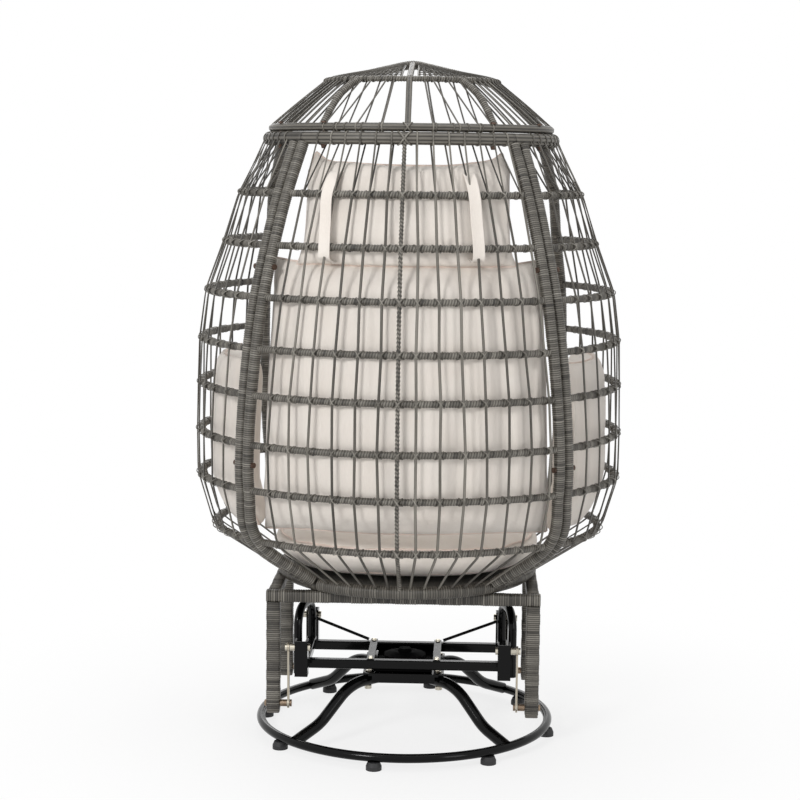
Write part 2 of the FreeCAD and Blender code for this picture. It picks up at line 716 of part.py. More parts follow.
# Wicker cage. Every level is made of three plan arcs: the back and the two sides.
class PlanArc:
    """A level arc through three plan points, walked from the first to the last."""

    def __init__(self, first, middle, last, height):
        circle = Part.Circle(*[Vector(point[0], point[1], 0) for point in (first, middle, last)])
        self.centre = Vector(circle.Center.x, circle.Center.y, height)
        self.radius = circle.Radius
        self.start = math.atan2(first[1] - self.centre.y, first[0] - self.centre.x)
        end = math.atan2(last[1] - self.centre.y, last[0] - self.centre.x)
        through = math.atan2(middle[1] - self.centre.y, middle[0] - self.centre.x)
        full = 2 * math.pi
        sweep = (end - self.start) % full
        if (through - self.start) % full > sweep:
            sweep -= full
        self.sweep = sweep

    def length(self):
        return abs(self.sweep) * self.radius

    def at(self, share, out=0.0):
        angle = self.start + self.sweep * share
        ray = Vector(math.cos(angle), math.sin(angle), 0)
        return self.centre + ray * (self.radius + out)

    def outward(self, share):
        angle = self.start + self.sweep * share
        return Vector(math.cos(angle), math.sin(angle), 0)


class Level:
    def __init__(self, values):
        self.height, self.half, self.rear, self.front_half, self.front, self.joint = values
        middle = size("egg_middle")
        across = min(self.joint / self.half, 0.98)
        joint_y = middle + (self.rear - middle) * math.sqrt(1 - across * across)
        self.back = PlanArc((self.joint, joint_y), (0, self.rear), (-self.joint, joint_y), self.height)
        self.side = {}
        for sign in (-1, 1):
            first = (self.joint * sign, joint_y)
            last = (self.front_half * sign, self.front)
            self.side[sign] = PlanArc(first, (self.half * sign, middle), last, self.height)


def level_values(name):
    aliases = ["egg_%s_%s" % (name, column) for column in COLUMNS]
    return [size("seat_ring_height" if alias == "egg_seat_height" else alias) for alias in aliases]


levels = [Level(level_values(level[0])) for level in LEVELS]
rings = levels[1:-1]


def blend(height):
    """The level outline between two ring levels."""
    for upper, lower in zip(LEVELS, LEVELS[1:]):
        high_values = level_values(upper[0])
        low_values = level_values(lower[0])
        if high_values[0] >= height >= low_values[0]:
            share = (high_values[0] - height) / (high_values[0] - low_values[0])
            return Level([a + (b - a) * share for a, b in zip(high_values, low_values)])
    return levels[0] if height > levels[0].height else levels[-1]


def round_section(radius, sides, turn=0.0):
    step = 2 * math.pi / sides
    return [(radius * math.cos(turn + step * k), radius * math.sin(turn + step * k)) for k in range(sides)]


def flat_section(half_across, half_thick):
    return [(half_across * a, half_thick * b) for a, b in ((1, 1), (-1, 1), (-1, -1), (1, -1))]


def slide_to(point, way, on, normal):
    return point + way * ((on - point).dot(normal) / way.dot(normal))


def rod(points, section, lift, closed=False, level_start=False, level_end=False):
    """A solid rod through the points with mitred joints. lift is the section's first direction."""
    count = len(points)
    ways = [(points[(k + 1) % count] - points[k]).normalize() for k in range(count if closed else count - 1)]
    first = ways[0]
    u = (lift - first * lift.dot(first)).normalize()
    v = first.cross(u)
    corners = [points[0] + u * a + v * b for a, b in section]
    up = Vector(0, 0, 1)
    if closed:
        normal = (ways[-1] + first).normalize()
    else:
        normal = up if level_start else first
    loop = [slide_to(corner, first, points[0], normal) for corner in corners]
    loops = [loop]
    last = count if closed else count - 1
    for k in range(1, last + 1):
        way = ways[k - 1]
        here = points[k % count]
        if closed or k < last:
            normal = (way + ways[k % len(ways)]).normalize()
        else:
            normal = up if level_end else way
        loop = [slide_to(corner, way, here, normal) for corner in loop]
        loops.append(loop)
    if closed:
        loops[-1] = loops[0]
    faces = []
    many = len(section)
    for before, after in zip(loops, loops[1:]):
        for j in range(many):
            i = (j + 1) % many
            faces.append(Part.Face(Part.makePolygon([before[j], before[i], after[i], after[j], before[j]])))
    if not closed:
        for end in (loops[0], loops[-1]):
            faces.append(Part.Face(Part.makePolygon(end + [end[0]])))
    solid = Part.Solid(Part.Shell(faces))
    if solid.Volume < 0:
        solid.reverse()
    return solid


def straight(start, start_run, start_radius, end, end_run, end_radius, section, half):
    """A straight rod between two tubes, trimmed so that its ends just clear them."""
    way = (end - start).normalize()
    trims = []
    for run, radius in ((start_run, start_radius), (end_run, end_radius)):
        lean = abs(way.dot(run))
        trims.append((radius + size("weld_gap") + half * lean) / math.sqrt(1 - lean * lean))
    return rod([start + way * trims[0], end - way * trims[1]], section, Vector(0, 0, 1))


UP = Vector(0, 0, 1)
edge_r = size("edge_tube")
ring_r = size("ring_tube")
top_r = size("top_tube")
seat_r = size("seat_ring_tube")
weld = size("weld_gap")
cage_low = size("seat_ring_height") + seat_r + weld
cage_high = levels[0].height - top_r - weld


def clip_ends(points):
    """End the run level, on top of the seat ring and under the top tube."""
    top_way = points[0] - points[1]
    low_way = points[-1] - points[-2]
    points[0] = slide_to(points[0], top_way, Vector(0, 0, cage_high), UP)
    points[-1] = slide_to(points[-1], low_way, Vector(0, 0, cage_low), UP)
    return points


def edge_tube_solid(points):
    outward = Vector(points[0].x, points[0].y, 0)
    return rod(clip_ends(points), round_section(edge_r, 10), outward, level_start=True, level_end=True)


back_edges = {sign: [level.back.at(0.0 if sign > 0 else 1.0) for level in levels] for sign in (-1, 1)}


def pair_offsets(sign):
    """Distance along the ring that keeps the side panel's tube just clear of the back panel's tube."""
    line = back_edges[sign]
    offsets = []
    for k, level in enumerate(levels):
        along = (level.side[sign].at(0.02) - level.side[sign].at(0.0)).normalize()
        need = 0.0
        for j in (k - 1, k):
            if 0 <= j < len(line) - 1:
                way = (line[j + 1] - line[j]).normalize()
                lean = along.dot(way)
                need = max(need, (2 * edge_r + size("pair_gap")) / math.sqrt(1 - lean * lean))
        offsets.append(need)
    return offsets


def end_margin(arc, share, line, index):
    """How far from the tube's centre line a ring ends, as a share of its arc."""
    along = (arc.at(share + 0.01) - arc.at(share - 0.01)).normalize()
    need = 0.0
    for a, b in ((index - 1, index), (index, index + 1)):
        lean = abs(along.dot((line[b] - line[a]).normalize()))
        need = max(need, (edge_r + weld + ring_r * lean) / math.sqrt(1 - lean * lean))
    return need / arc.length()


def push_out(line, outs, reach):
    """Offset a run outward so that it lies over the rings, and bring its ends back onto the tubes."""
    moved = []
    for k, point in enumerate(line):
        if k in (0, len(line) - 1):
            moved.append(Vector(point))
            continue
        normals = []
        for a, b in ((k - 1, k), (k, k + 1)):
            way = (line[b] - line[a]).normalize()
            normals.append((outs[k] - way * outs[k].dot(way)).normalize())
        total = normals[0] + normals[1]
        moved.append(point + total * (reach / (1 + normals[0].dot(normals[1]))))
    return moved


reach = ring_r + size("weave_gap") + size("strand_side") / 2 + 0.4
spine_reach = ring_r + size("weave_gap") + size("spine_radius") + 0.4


def woven(line, outs, section, far):
    points = clip_ends(push_out(line, outs, far))
    return rod(points, section, outs[0], level_start=True, level_end=True)


strand_section = flat_section(size("strand_side") / 2, size("strand_side") / 2)
spine_share = size("spine_share")
left_shares = [spine_share - size("strand_first") - size("strand_step") * k for k in range(6)]
right_shares = [spine_share + size("strand_first") + size("strand_step") * k for k in range(7)]
back_shares = sorted(left_shares + right_shares)
marks = sorted(back_shares + [spine_share])

# Back panel
drill_levels = (1030.0, 620.0)
panel_bolt_r = 3.0


def bolt_line(sign, height):
    level = blend(height)
    here = level.back.at(0.0 if sign > 0 else 1.0)
    near = level.side[sign]
    along = (near.at(0.03) - near.at(0.0)).normalize()
    return here, along


def drilled(shape, sign):
    for height in drill_levels:
        here, along = bolt_line(sign, height)
        shape = shape.cut(Part.makeCylinder(panel_bolt_r + size("hole_gap"), 90, here - along * 30, along))
    return shape


back_tubes = {}
for sign in (-1, 1):
    back_tubes[sign] = drilled(edge_tube_solid(list(back_edges[sign])), sign)
solid_node("back_edge_tubes", [back_tubes[1], back_tubes[-1]])

back_rings = []
for index, level in enumerate(rings, 1):
    margin = end_margin(level.back, 0.0, back_edges[1], index)
    shares = [margin] + [share for share in marks if margin < share < 1 - margin] + [1 - margin]
    back_rings.append(rod([level.back.at(share) for share in shares], round_section(ring_r, 6), UP))
solid_node("back_rings", back_rings)


def back_line(share):
    return [level.back.at(share) for level in levels], [level.back.outward(share) for level in levels]


strands = []
for share in back_shares:
    line, outs = back_line(share)
    strands.append(woven(line, outs, strand_section, reach))
solid_node("back_strands", strands)
line, outs = back_line(spine_share)
solid_node("back_spine", [woven(line, outs, round_section(size("spine_radius"), 6), spine_reach)])

# Side panels
bolts = []
side_count = 11
for sign, side_name in ((1, "left"), (-1, "right")):
    offsets = pair_offsets(sign)
    rear_line = []
    front_line = [level.side[sign].at(1.0) for level in levels]
    starts = []
    for level, offset in zip(levels, offsets):
        start = offset / level.side[sign].length()
        starts.append(start)
        rear_line.append(level.side[sign].at(start))
    rear_tube = drilled(edge_tube_solid(list(rear_line)), sign)
    front_tube = edge_tube_solid(list(front_line))
    solid_node("%s_edge_tubes" % side_name, [rear_tube, front_tube])
    inner = [(k + 1.0) / (side_count + 1.0) for k in range(side_count)]
    side_rings = []
    for index, level in enumerate(rings, 1):
        arc = level.side[sign]
        start = starts[index]
        low_end = start + end_margin(arc, start, rear_line, index)
        high_end = 1 - end_margin(arc, 1.0, front_line, index)
        shares = [low_end] + [start + (1 - start) * share for share in inner] + [high_end]
        side_rings.append(rod([arc.at(share) for share in shares], round_section(ring_r, 6), UP))
    solid_node("%s_rings" % side_name, side_rings)
    side_strands = []
    for share in inner:
        spots = [start + (1 - start) * share for start in starts]
        line = [level.side[sign].at(spot) for level, spot in zip(levels, spots)]
        outs = [level.side[sign].outward(spot) for level, spot in zip(levels, spots)]
        side_strands.append(woven(line, outs, strand_section, reach))
    solid_node("%s_strands" % side_name, side_strands)
    for height in drill_levels:
        here, along = bolt_line(sign, height)
        pair = 2 * edge_r + size("pair_gap")
        head = here - along * (edge_r + 0.2)
        shank = Part.makeCylinder(panel_bolt_r, pair + 2 * edge_r + 1.5, head, along)
        head_solid = Part.makeCylinder(6.0, 4.0, head - along * 4.0, along)
        nut = Part.makeCylinder(6.0, 6.0, head + along * (pair + 2 * edge_r + 1.0), along)
        bolts.append(shank.fuse([head_solid, nut]).removeSplitter())
solid_node("panel_bolts", bolts)

# Top tube of the panels and the rim of the cap above it
top_level = levels[0]
side_top_end = 1.0 + (edge_r + 1.0) / top_level.side[1].length()
steps_back = [k / 8.0 for k in range(9)]
back_top = rod([top_level.back.at(share) for share in steps_back], round_section(top_r, 10), UP)
cap_bolt_spots = []
side_tops = {}
for sign, start in ((1, pair_offsets(1)[0]), (-1, pair_offsets(-1)[0])):
    arc = top_level.side[sign]
    corner = 0.0 if sign > 0 else 1.0
    back_way = top_level.back.at(abs(corner - 0.125)) - top_level.back.at(corner)
    kink = math.pi - back_way.getAngle(arc.at(1 / 7.0) - arc.at(0.0))
    gap = (size("pair_gap") + top_r * math.tan(kink)) / arc.length()
    shares = [gap + (side_top_end - gap) * k / 7.0 for k in range(8)]
    side_tops[sign] = rod([arc.at(share) for share in shares], round_section(top_r, 10), UP)
    cap_bolt_spots.append((arc, 0.3))
    cap_bolt_spots.append((top_level.back, 0.1 if sign > 0 else 0.9))

inset = size("rim_inset")
rim_height = top_level.height + top_r + size("rim_tube") + weld
rim_lift = Vector(0, 0, rim_height - top_level.height)
rim_points = []
for k in range(7, 0, -1):
    rim_points.append(top_level.side[1].at(side_top_end * k / 7.0, -inset) + rim_lift)
for k in range(0, 9):
    rim_points.append(top_level.back.at(k / 8.0, -inset) + rim_lift)
for k in range(1, 8):
    rim_points.append(top_level.side[-1].at(side_top_end * k / 7.0, -inset) + rim_lift)
rim = rod(rim_points, round_section(size("rim_tube"), 10), UP)

cap_bolts = []
cap_drills = []
cap_bolt_r = 2.6
for arc, share in cap_bolt_spots:
    spot = arc.at(share, -inset / 2)
    top = rim_height + size("rim_tube")
    low = top_level.height - top_r
    base_point = Vector(spot.x, spot.y, low)
    cap_drills.append(Part.makeCylinder(cap_bolt_r + size("hole_gap"), top - low + 40, base_point - UP * 20))
    shank = Part.makeCylinder(cap_bolt_r, top - low, base_point)
    head = Part.makeCylinder(5.5, 3.0, base_point + UP * (top - low))
    nut = Part.makeCone(4.0, 6.5, 8.0, base_point - UP * 8.0)
    cap_bolts.append(shank.fuse([head, nut]).removeSplitter())
solid_node("cap_bolts", cap_bolts)
solid_node("back_top_tube", [back_top.cut(cap_drills)])
solid_node("left_top_tube", [side_tops[1].cut(cap_drills)])
solid_node("right_top_tube", [side_tops[-1].cut(cap_drills)])
solid_node("cap_rim", [rim.cut(cap_drills)])

# Cap: front arch, middle ring, ribs and strands
arch_r = size("arch_tube")
mid_height = rim_height + size("hoop_ring_rise")
arch_foot_z = rim_height + size("rim_tube") + weld
rim_end = top_level.side[1].at(1.0, -inset)
knee_y = size("hoop_ring_y") - 0.24 * size("hoop_ring_radius")
knee_x = size("hoop_ring_radius") * 0.971
arch_points = [
    Vector(rim_end.x, rim_end.y, arch_foot_z),
    Vector(knee_x, knee_y, mid_height),
    Vector(0, size("arch_top_y"), mid_height + size("arch_rise")),
    Vector(-knee_x, knee_y, mid_height),
    Vector(-rim_end.x, rim_end.y, arch_foot_z),
]
arch = rod(arch_points, round_section(arch_r, 10), Vector(0, 1, 0), level_start=True, level_end=True)
solid_node("cap_front_arch", [arch])

ring_centre = Vector(0, size("hoop_ring_y"), mid_height)
hoop_r_big = size("hoop_ring_radius")
open_from = math.radians(-13.9) + (arch_r + 1.2) / hoop_r_big


def on_mid_ring(angle, out=0.0):
    return ring_centre + Vector(math.cos(angle), math.sin(angle), 0) * (hoop_r_big + out)


span = math.pi - 2 * open_from
mid_points = [on_mid_ring(open_from + span * k / 16.0) for k in range(17)]
solid_node("cap_middle_ring", [rod(mid_points, round_section(size("hoop_ring_tube"), 8), UP)])


def rim_at(share):
    """Point and direction of the rim: share 0 is its left front end and share 1 its right front end."""
    position = share * (len(rim_points) - 1)
    index = min(int(position), len(rim_points) - 2)
    run = rim_points[index + 1] - rim_points[index]
    return rim_points[index] + run * (position - index), run.normalize()


def mid_at(share):
    """Point and direction of the middle ring."""
    angle = open_from + span * share
    return on_mid_ring(angle), Vector(-math.sin(angle), math.cos(angle), 0)


rim_r = size("rim_tube")
mid_r = size("hoop_ring_tube")
rib_r = size("rib_tube")
spine_rib_r = size("spine_rib")
strand_half = size("strand_side") * 0.71
cap_section = flat_section(size("strand_side") / 2, size("strand_side") / 2)
pairs = 26
rib_shares = (9.0 / pairs, 1 - 9.0 / pairs)
crown = arch_points[2]
ribs = []
cap_strands = []
for share, radius in ((rib_shares[0], rib_r), (0.5, spine_rib_r), (rib_shares[1], rib_r)):
    low_point, low_run = rim_at(0.03 + 0.94 * share)
    top_point, top_run = mid_at(0.04 + 0.92 * share)
    section = round_section(radius, 8)
    ribs.append(straight(low_point, low_run, rim_r, top_point, top_run, mid_r, section, radius))
spine_top, spine_run = mid_at(0.5)
section = round_section(spine_rib_r, 8)
rise = straight(spine_top, spine_run, mid_r + 2 * weld, crown, Vector(1, 0, 0), arch_r, section, spine_rib_r)
ribs.append(rise)
solid_node("cap_ribs", ribs)
for k in range(pairs):
    share = (k + 0.5) / pairs
    if min(abs(share - rib) for rib in rib_shares + (0.5,)) < 0.75 / pairs:
        continue
    pinch = 0.006 if k % 2 else -0.006
    low_point, low_run = rim_at(0.03 + 0.94 * (share - pinch))
    top_point, top_run = mid_at(0.04 + 0.92 * (share + pinch))
    strand = straight(low_point, low_run, rim_r, top_point, top_run, mid_r, cap_section, strand_half)
    cap_strands.append(strand)
for k in range(1, 12):
    if k == 6:
        continue
    along = k / 12.0
    start, start_run = mid_at(0.08 + 0.84 * along)
    knee = arch_points[1] if along < 0.5 else arch_points[3]
    arch_run = (knee - crown).normalize()
    end = crown + (knee - crown) * (0.14 + 0.70 * abs(along - 0.5) * 2)
    cap_strands.append(straight(start, start_run, mid_r, end, arch_run, arch_r, cap_section, strand_half))
solid_node("cap_strands", cap_strands)

# Seat ring and woven deck
seat_level = levels[-1]
seat_arc_front = PlanArc(
    (seat_level.front_half, seat_level.front), (0, seat_level.front - size("seat_ring_nose")),
    (-seat_level.front_half, seat_level.front), seat_level.height,
)


def seat_points(out):
    points = [seat_level.back.at(k / 8.0, out) for k in range(8)]
    points += [seat_level.side[-1].at(k / 10.0, out) for k in range(10)]
    points += [seat_arc_front.at(1 - k / 8.0, out) for k in range(8)]
    points += [seat_level.side[1].at(1 - k / 10.0, out) for k in range(10)]
    return points


seat_ring = rod(seat_points(0.0), round_section(seat_r, 10, math.pi / 10), UP, closed=True)
solid_node("seat_ring", [seat_ring])
deck_edge = seat_points(-(seat_r + weld) * 1.04)
deck_face = Part.Face(Part.makePolygon(deck_edge + [deck_edge[0]]))
deck = deck_face.extrude(Vector(0, 0, size("deck_thick")))
solid_node("seat_deck", [deck])
bar_r = size("deck_bar_radius")
deck_bars = []
for y in (size("deck_bar_front"), size("deck_bar_rear")):
    half = 0.0
    edge = seat_points(-(seat_r + weld) * 1.02)
    for a, b in zip(edge, edge[1:] + edge[:1]):
        if a.x > 0 and b.x > 0 and (a.y - y) * (b.y - y) <= 0:
            half = a.x + (b.x - a.x) * (y - a.y) / (b.y - a.y) - bar_r * 0.5
    start = Vector(-half, y, seat_level.height - bar_r - weld)
    deck_bars.append(Part.makeCylinder(bar_r, 2 * half, start, Vector(1, 0, 0)))
solid_node("deck_bars", deck_bars)


# Cushions: lofts through level outlines made of arcs
def arc_edge(a, b, c):
    return Part.Arc(a, b, c).toShape()


def blob(half, rear, front, middle, height):
    """A rounded outline: eight arcs over a squared ellipse."""
    points = []
    for k in range(16):
        angle = math.pi * k / 8
        across = math.copysign(abs(math.cos(angle)) ** 0.78, math.cos(angle))
        along = math.copysign(abs(math.sin(angle)) ** 0.78, math.sin(angle))
        depth = rear - middle if along > 0 else middle - front
        points.append(Vector(half * across, middle + depth * along, height))
    points.append(points[0])
    return Part.Wire([arc_edge(*points[k:k + 3]) for k in range(0, 16, 2)])


deck_top = seat_level.height + size("deck_thick")
seat_low = deck_top + size("soft_gap")
seat_tall = size("seat_thick")
seat_middle = size("egg_middle") - 10
seat_shape = ((0.0, 70.0), (0.12, 34.0), (0.34, 6.0), (0.56, 0.0), (0.80, 14.0), (0.94, 46.0), (1.0, 90.0))


def seat_loft(grow):
    """The seat cushion. Its lower half is drawn in further, where the cage narrows onto its ring."""
    wires = []
    for rise, draw in seat_shape:
        tuck = 70.0 * max(0.0, 0.45 - rise)
        height = seat_low + seat_tall * rise
        if rise == 1.0:
            height += grow
        wires.append(blob(
            size("seat_half") - draw - tuck + grow, size("seat_rear") - draw * 0.8 - tuck + grow,
            size("seat_front") + draw * 0.8 + tuck - grow, seat_middle, height,
        ))
    return Part.makeLoft(wires, True, True)


solid_node("seat_cushion", [seat_loft(0.0)])


def pad_outline(arc, first, last, off, thick, height):
    """Level outline of a pad that leans on the cage: outer arc, two rounded ends and inner arc."""
    middle = (first + last) / 2
    bulge = thick * 0.32 / arc.length()
    lift = Vector(0, 0, height - arc.centre.z)
    outer = [arc.at(share, -off) + lift for share in (first, middle, last)]
    inner = [arc.at(share, -off - thick) + lift for share in (last, middle, first)]
    tip_last = arc.at(last + bulge, -off - thick * 0.5) + lift
    tip_first = arc.at(first - bulge, -off - thick * 0.5) + lift
    return Part.Wire([
        arc_edge(outer[0], outer[1], outer[2]),
        arc_edge(outer[2], tip_last, inner[0]),
        arc_edge(inner[0], inner[1], inner[2]),
        arc_edge(inner[2], tip_first, outer[0]),
    ])


def pad(low, high, pick, first, last, off, thick, narrow):
    """A leaning cushion with a crown: thin at its foot and head, full where it lies on the rings."""
    profile = [
        (0.0, 0.34), (0.05, 0.66), (0.16, 0.92), (0.30, 1.0),
        (0.74, 1.0), (0.88, 0.88), (0.96, 0.62), (1.0, 0.32),
    ]
    for level in rings:
        rise = (level.height - low) / (high - low)
        if 0.33 < rise < 0.71:
            profile.append((rise, 1.0))
    wires = []
    for rise, full in sorted(profile):
        height = low + (high - low) * rise
        draw = narrow * (1 - full)
        body = thick * full
        lean = off + (thick - body) * 0.5
        wires.append(pad_outline(pick(height), first + draw, last - draw, lean, body, height))
    return Part.makeLoft(wires, True, True)


seat_high = seat_low + seat_tall
seat_sink = 22.0
clear_ring = ring_r + size("soft_gap")
on_seat = seat_loft(size("soft_gap") + 0.1)
back_cushion = pad(seat_high - seat_sink, size("back_top"), lambda z: blend(z).back, 0.075, 0.925, clear_ring,
                   size("back_thick"), 0.10)
solid_node("back_cushion", [back_cushion.cut(on_seat)])
pillow_low = size("back_top") + size("soft_gap")
slope = (rings[1].rear - rings[0].rear) / (rings[0].height - rings[1].height)
head_pillow = pad(pillow_low, size("pillow_top"), lambda z: blend(z).back, 0.10, 0.90,
                  clear_ring * math.sqrt(1 + slope * slope) + 0.4, size("pillow_thick"), 0.08)
solid_node("head_pillow", [head_pillow])
for sign, side_name in ((1, "left"), (-1, "right")):
    arm = pad(seat_high, size("arm_top"), lambda z: blend(z).side[sign], 0.20, 0.62, clear_ring,
              size("arm_thick"), 0.16)
    solid_node("arm_cushion_%s" % side_name, [arm.cut(on_seat)])

# Pillow straps: each loops out over the first ring and back in under the second
straps = []
band = flat_section(size("strap_band"), size("strap_cloth"))
strand_out = reach + size("strand_side") / 2 + size("strap_cloth") + 0.15
ring_one, ring_two = rings[0], rings[1]
for share in (0.19, 0.785):
    pillow_arc_high = blend(size("pillow_top") - 22)
    pillow_arc_low = blend(pillow_low + 24)
    high_in = pillow_arc_high.back.at(share, -clear_ring - 34.0)
    low_in = pillow_arc_low.back.at(share, -clear_ring - 34.0)
    out_one = ring_one.back.at(share, strand_out)
    out_two = ring_two.back.at(share, strand_out)
    above = blend(ring_one.height + 44).back.at(share, strand_out - 6.0)
    below = blend(ring_two.height - 26).back.at(share, strand_out)
    tucked_high = Vector(high_in.x, high_in.y, above.z + 10)
    tucked_low = Vector(low_in.x, low_in.y, below.z - 6)
    path = [tucked_high, above, out_one, out_two, below, tucked_low]
    straps.append(rod(path, band, Vector(1, 0, 0)).cut(head_pillow))
solid_node("pillow_straps", straps)

doc.recompute()

# Every object has to be sound before anything is written
for item in doc.Objects:
    if "Invalid" in item.State or "Error" in item.State:
        raise RuntimeError("%s did not build" % item.Name)
for name, item in nodes.items():
    if item.Shape.isNull() or not item.Shape.isValid():
        raise RuntimeError("%s has no valid shape" % name)

os.makedirs("parts", exist_ok=True)
for name, item in nodes.items():
    item.Shape.exportStep(os.path.join("parts", name + ".step"))

box_all = FreeCAD.BoundBox()
for item in nodes.values():
    box_all.add(item.Shape.BoundBox)
print("nodes", len(nodes))
sides = (box_all.XMin, box_all.XMax, box_all.YMin, box_all.YMax, box_all.ZMin, box_all.ZMax)
print("box", [round(value, 2) for value in sides])
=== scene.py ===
import math
import random

import bpy
import numpy as np
from mathutils import Matrix, Vector


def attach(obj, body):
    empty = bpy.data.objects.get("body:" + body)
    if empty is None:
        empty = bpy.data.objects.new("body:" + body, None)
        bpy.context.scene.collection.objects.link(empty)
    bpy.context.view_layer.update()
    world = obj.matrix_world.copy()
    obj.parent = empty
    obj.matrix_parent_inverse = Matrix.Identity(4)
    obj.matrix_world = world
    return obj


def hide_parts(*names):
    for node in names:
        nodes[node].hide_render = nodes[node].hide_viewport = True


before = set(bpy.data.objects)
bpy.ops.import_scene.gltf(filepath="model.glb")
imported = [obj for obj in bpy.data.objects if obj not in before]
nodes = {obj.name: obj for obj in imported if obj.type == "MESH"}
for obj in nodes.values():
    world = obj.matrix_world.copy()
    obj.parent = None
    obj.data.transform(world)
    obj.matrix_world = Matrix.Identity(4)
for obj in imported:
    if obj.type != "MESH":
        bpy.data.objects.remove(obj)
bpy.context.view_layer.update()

rng = random.Random(11)
scene = bpy.context.scene
MM = 0.001


# Materials
class Tree:
    """Short calls that add, fill and link nodes."""

    def __init__(self, tree):
        self.tree = tree
        tree.nodes.clear()

    def put(self, socket, value):
        if isinstance(value, bpy.types.NodeSocket):
            self.tree.links.new(value, socket)
        else:
            socket.default_value = value

    def add(self, kind, inputs=None, **props):
        """A node. An input given as a socket is linked, and any other is set."""
        node = self.tree.nodes.new(kind)
        for key, value in props.items():
            setattr(node, key, value)
        for key, value in (inputs or {}).items():
            self.put(node.inputs[key], value)
        return node

    def place(self):
        return self.add("ShaderNodeTexCoord").outputs["Object"]

    def scaled(self, source, scale):
        return self.add("ShaderNodeMapping", {"Vector": source, "Scale": scale}).outputs[0]

    def noise(self, vector, scale=1.0, detail=2.0, roughness=0.5):
        values = {"Vector": vector, "Scale": scale, "Detail": detail, "Roughness": roughness}
        return self.add("ShaderNodeTexNoise", values).outputs["Fac"]

    def ramp(self, value, stops):
        node = self.add("ShaderNodeValToRGB", {0: value})
        elements = node.color_ramp.elements
        while len(elements) < len(stops):
            elements.new(0.5)
        for element, (place, color) in zip(elements, stops):
            element.position = place
            element.color = (*color, 1)
        return node.outputs[0]

    def math(self, kind, a, b):
        return self.add("ShaderNodeMath", {0: a, 1: b}, operation=kind).outputs[0]

    def ranged(self, value, low, high, more=None, **props):
        """The value moved from the range 0 to 1, or the one in more, to the range low to high."""
        values = {"Value": value, "To Min": low, "To Max": high, **(more or {})}
        return self.add("ShaderNodeMapRange", values, **props).outputs[0]

    def tinted(self, color, value, low, high):
        """The colour times a grey from low to high."""
        grey = self.ranged(value, low, high)
        return self.add("ShaderNodeVectorMath", {0: color, "Scale": grey}, operation="SCALE").outputs[0]

    def bump(self, height, distance, strength=1.0, base=None):
        values = {"Height": height, "Distance": distance, "Strength": strength}
        if base is not None:
            values["Normal"] = base
        return self.add("ShaderNodeBump", values).outputs[0]


class Graph(Tree):
    """A Principled material."""

    def __init__(self, name, color=(0.5, 0.5, 0.5), roughness=0.5, **sets):
        self.mat = bpy.data.materials.new(name)
        self.mat.use_nodes = True
        super().__init__(self.mat.node_tree)
        values = {key.replace("_", " "): value for key, value in sets.items()}
        values.update({"Base Color": (*color, 1), "Roughness": roughness})
        self.bsdf = self.add("ShaderNodeBsdfPrincipled", values)
        self.out = self.add("ShaderNodeOutputMaterial", {0: self.bsdf.outputs[0]})

    def dress(self, color, normal):
        self.put(self.bsdf.inputs["Base Color"], color)
        self.put(self.bsdf.inputs["Normal"], normal)
        return self.mat


def wicker_material(name, stops):
    """Flat resin strips: fibre grooves along U of the run map and a tint for each strip, which also carries the painted
    shade in grooves and on edges and the painted highlights on crowns.
    """
    g = Graph(name, roughness=0.42, Specular_IOR_Level=0.42)
    run = g.add("ShaderNodeUVMap", uv_map="run").outputs[0]
    tint = g.add("ShaderNodeAttribute", attribute_name="tint").outputs["Fac"]
    fibres = g.noise(g.scaled(run, (45, 1500, 1)), 1.0, 3.0, 0.6)
    blotch = g.noise(g.place(), 38.0, 3.0, 0.6)
    value = g.math("ADD", g.math("MULTIPLY", tint, 0.86), g.math("MULTIPLY", blotch, 0.14))
    color = g.tinted(g.ramp(value, stops), fibres, 0.72, 1.24)
    return g.dress(color, g.bump(fibres, 0.0005, 0.8))


wicker = wicker_material("wicker_wrap", (
    (0.0, (0.008, 0.007, 0.006)), (0.25, (0.038, 0.034, 0.028)),
    (0.5, (0.135, 0.124, 0.105)), (1.0, (0.36, 0.34, 0.30)),
))
wicker_strand = wicker_material("wicker_strand", (
    (0.0, (0.010, 0.009, 0.007)), (0.5, (0.085, 0.077, 0.064)), (1.0, (0.26, 0.243, 0.21)),
))


def fabric_material(name, color, shade):
    """Plain woven polyester: crossed threads in object space, soft mottling and a faint sheen."""
    threads_per_metre = 950.0
    g = Graph(name, roughness=0.86, Specular_IOR_Level=0.22, Sheen_Weight=0.25, Sheen_Roughness=0.5)
    place = g.place()
    split = g.add("ShaderNodeSeparateXYZ", {0: place})
    waves = []
    for axis in ("X", "Y", "Z"):
        turned = g.math("MULTIPLY", split.outputs[axis], threads_per_metre * 2 * math.pi)
        waves.append(g.math("SINE", turned, 0.0))
    flat = g.math("MULTIPLY", g.math("ADD", waves[0], waves[1]), waves[2])
    level = g.math("MULTIPLY", waves[0], waves[1])
    threads = g.math("ADD", g.math("MULTIPLY", flat, 0.35), g.math("MULTIPLY", level, 0.35))
    slub = g.noise(g.scaled(place, (420, 420, 60)), 1.0, 2.0)
    mottle = g.noise(place, 9.0, 4.0, 0.55)
    base = g.tinted(g.ramp(mottle, ((0.25, shade), (0.7, color))), slub, 0.95, 1.04)
    fine = g.bump(threads, 0.00025, 0.5)
    creases = g.noise(g.scaled(place, (26, 26, 7)), 1.0, 4.0, 0.62)
    return g.dress(base, g.bump(creases, 0.010, 0.35, fine))


cream = fabric_material("cream_cloth", (0.80, 0.745, 0.685), (0.755, 0.69, 0.625))
# Pink cloth for the piping: painted pinkish shade along the cushions' seams.
pink_shade = fabric_material("blush_cloth", (0.79, 0.665, 0.59), (0.72, 0.59, 0.515))


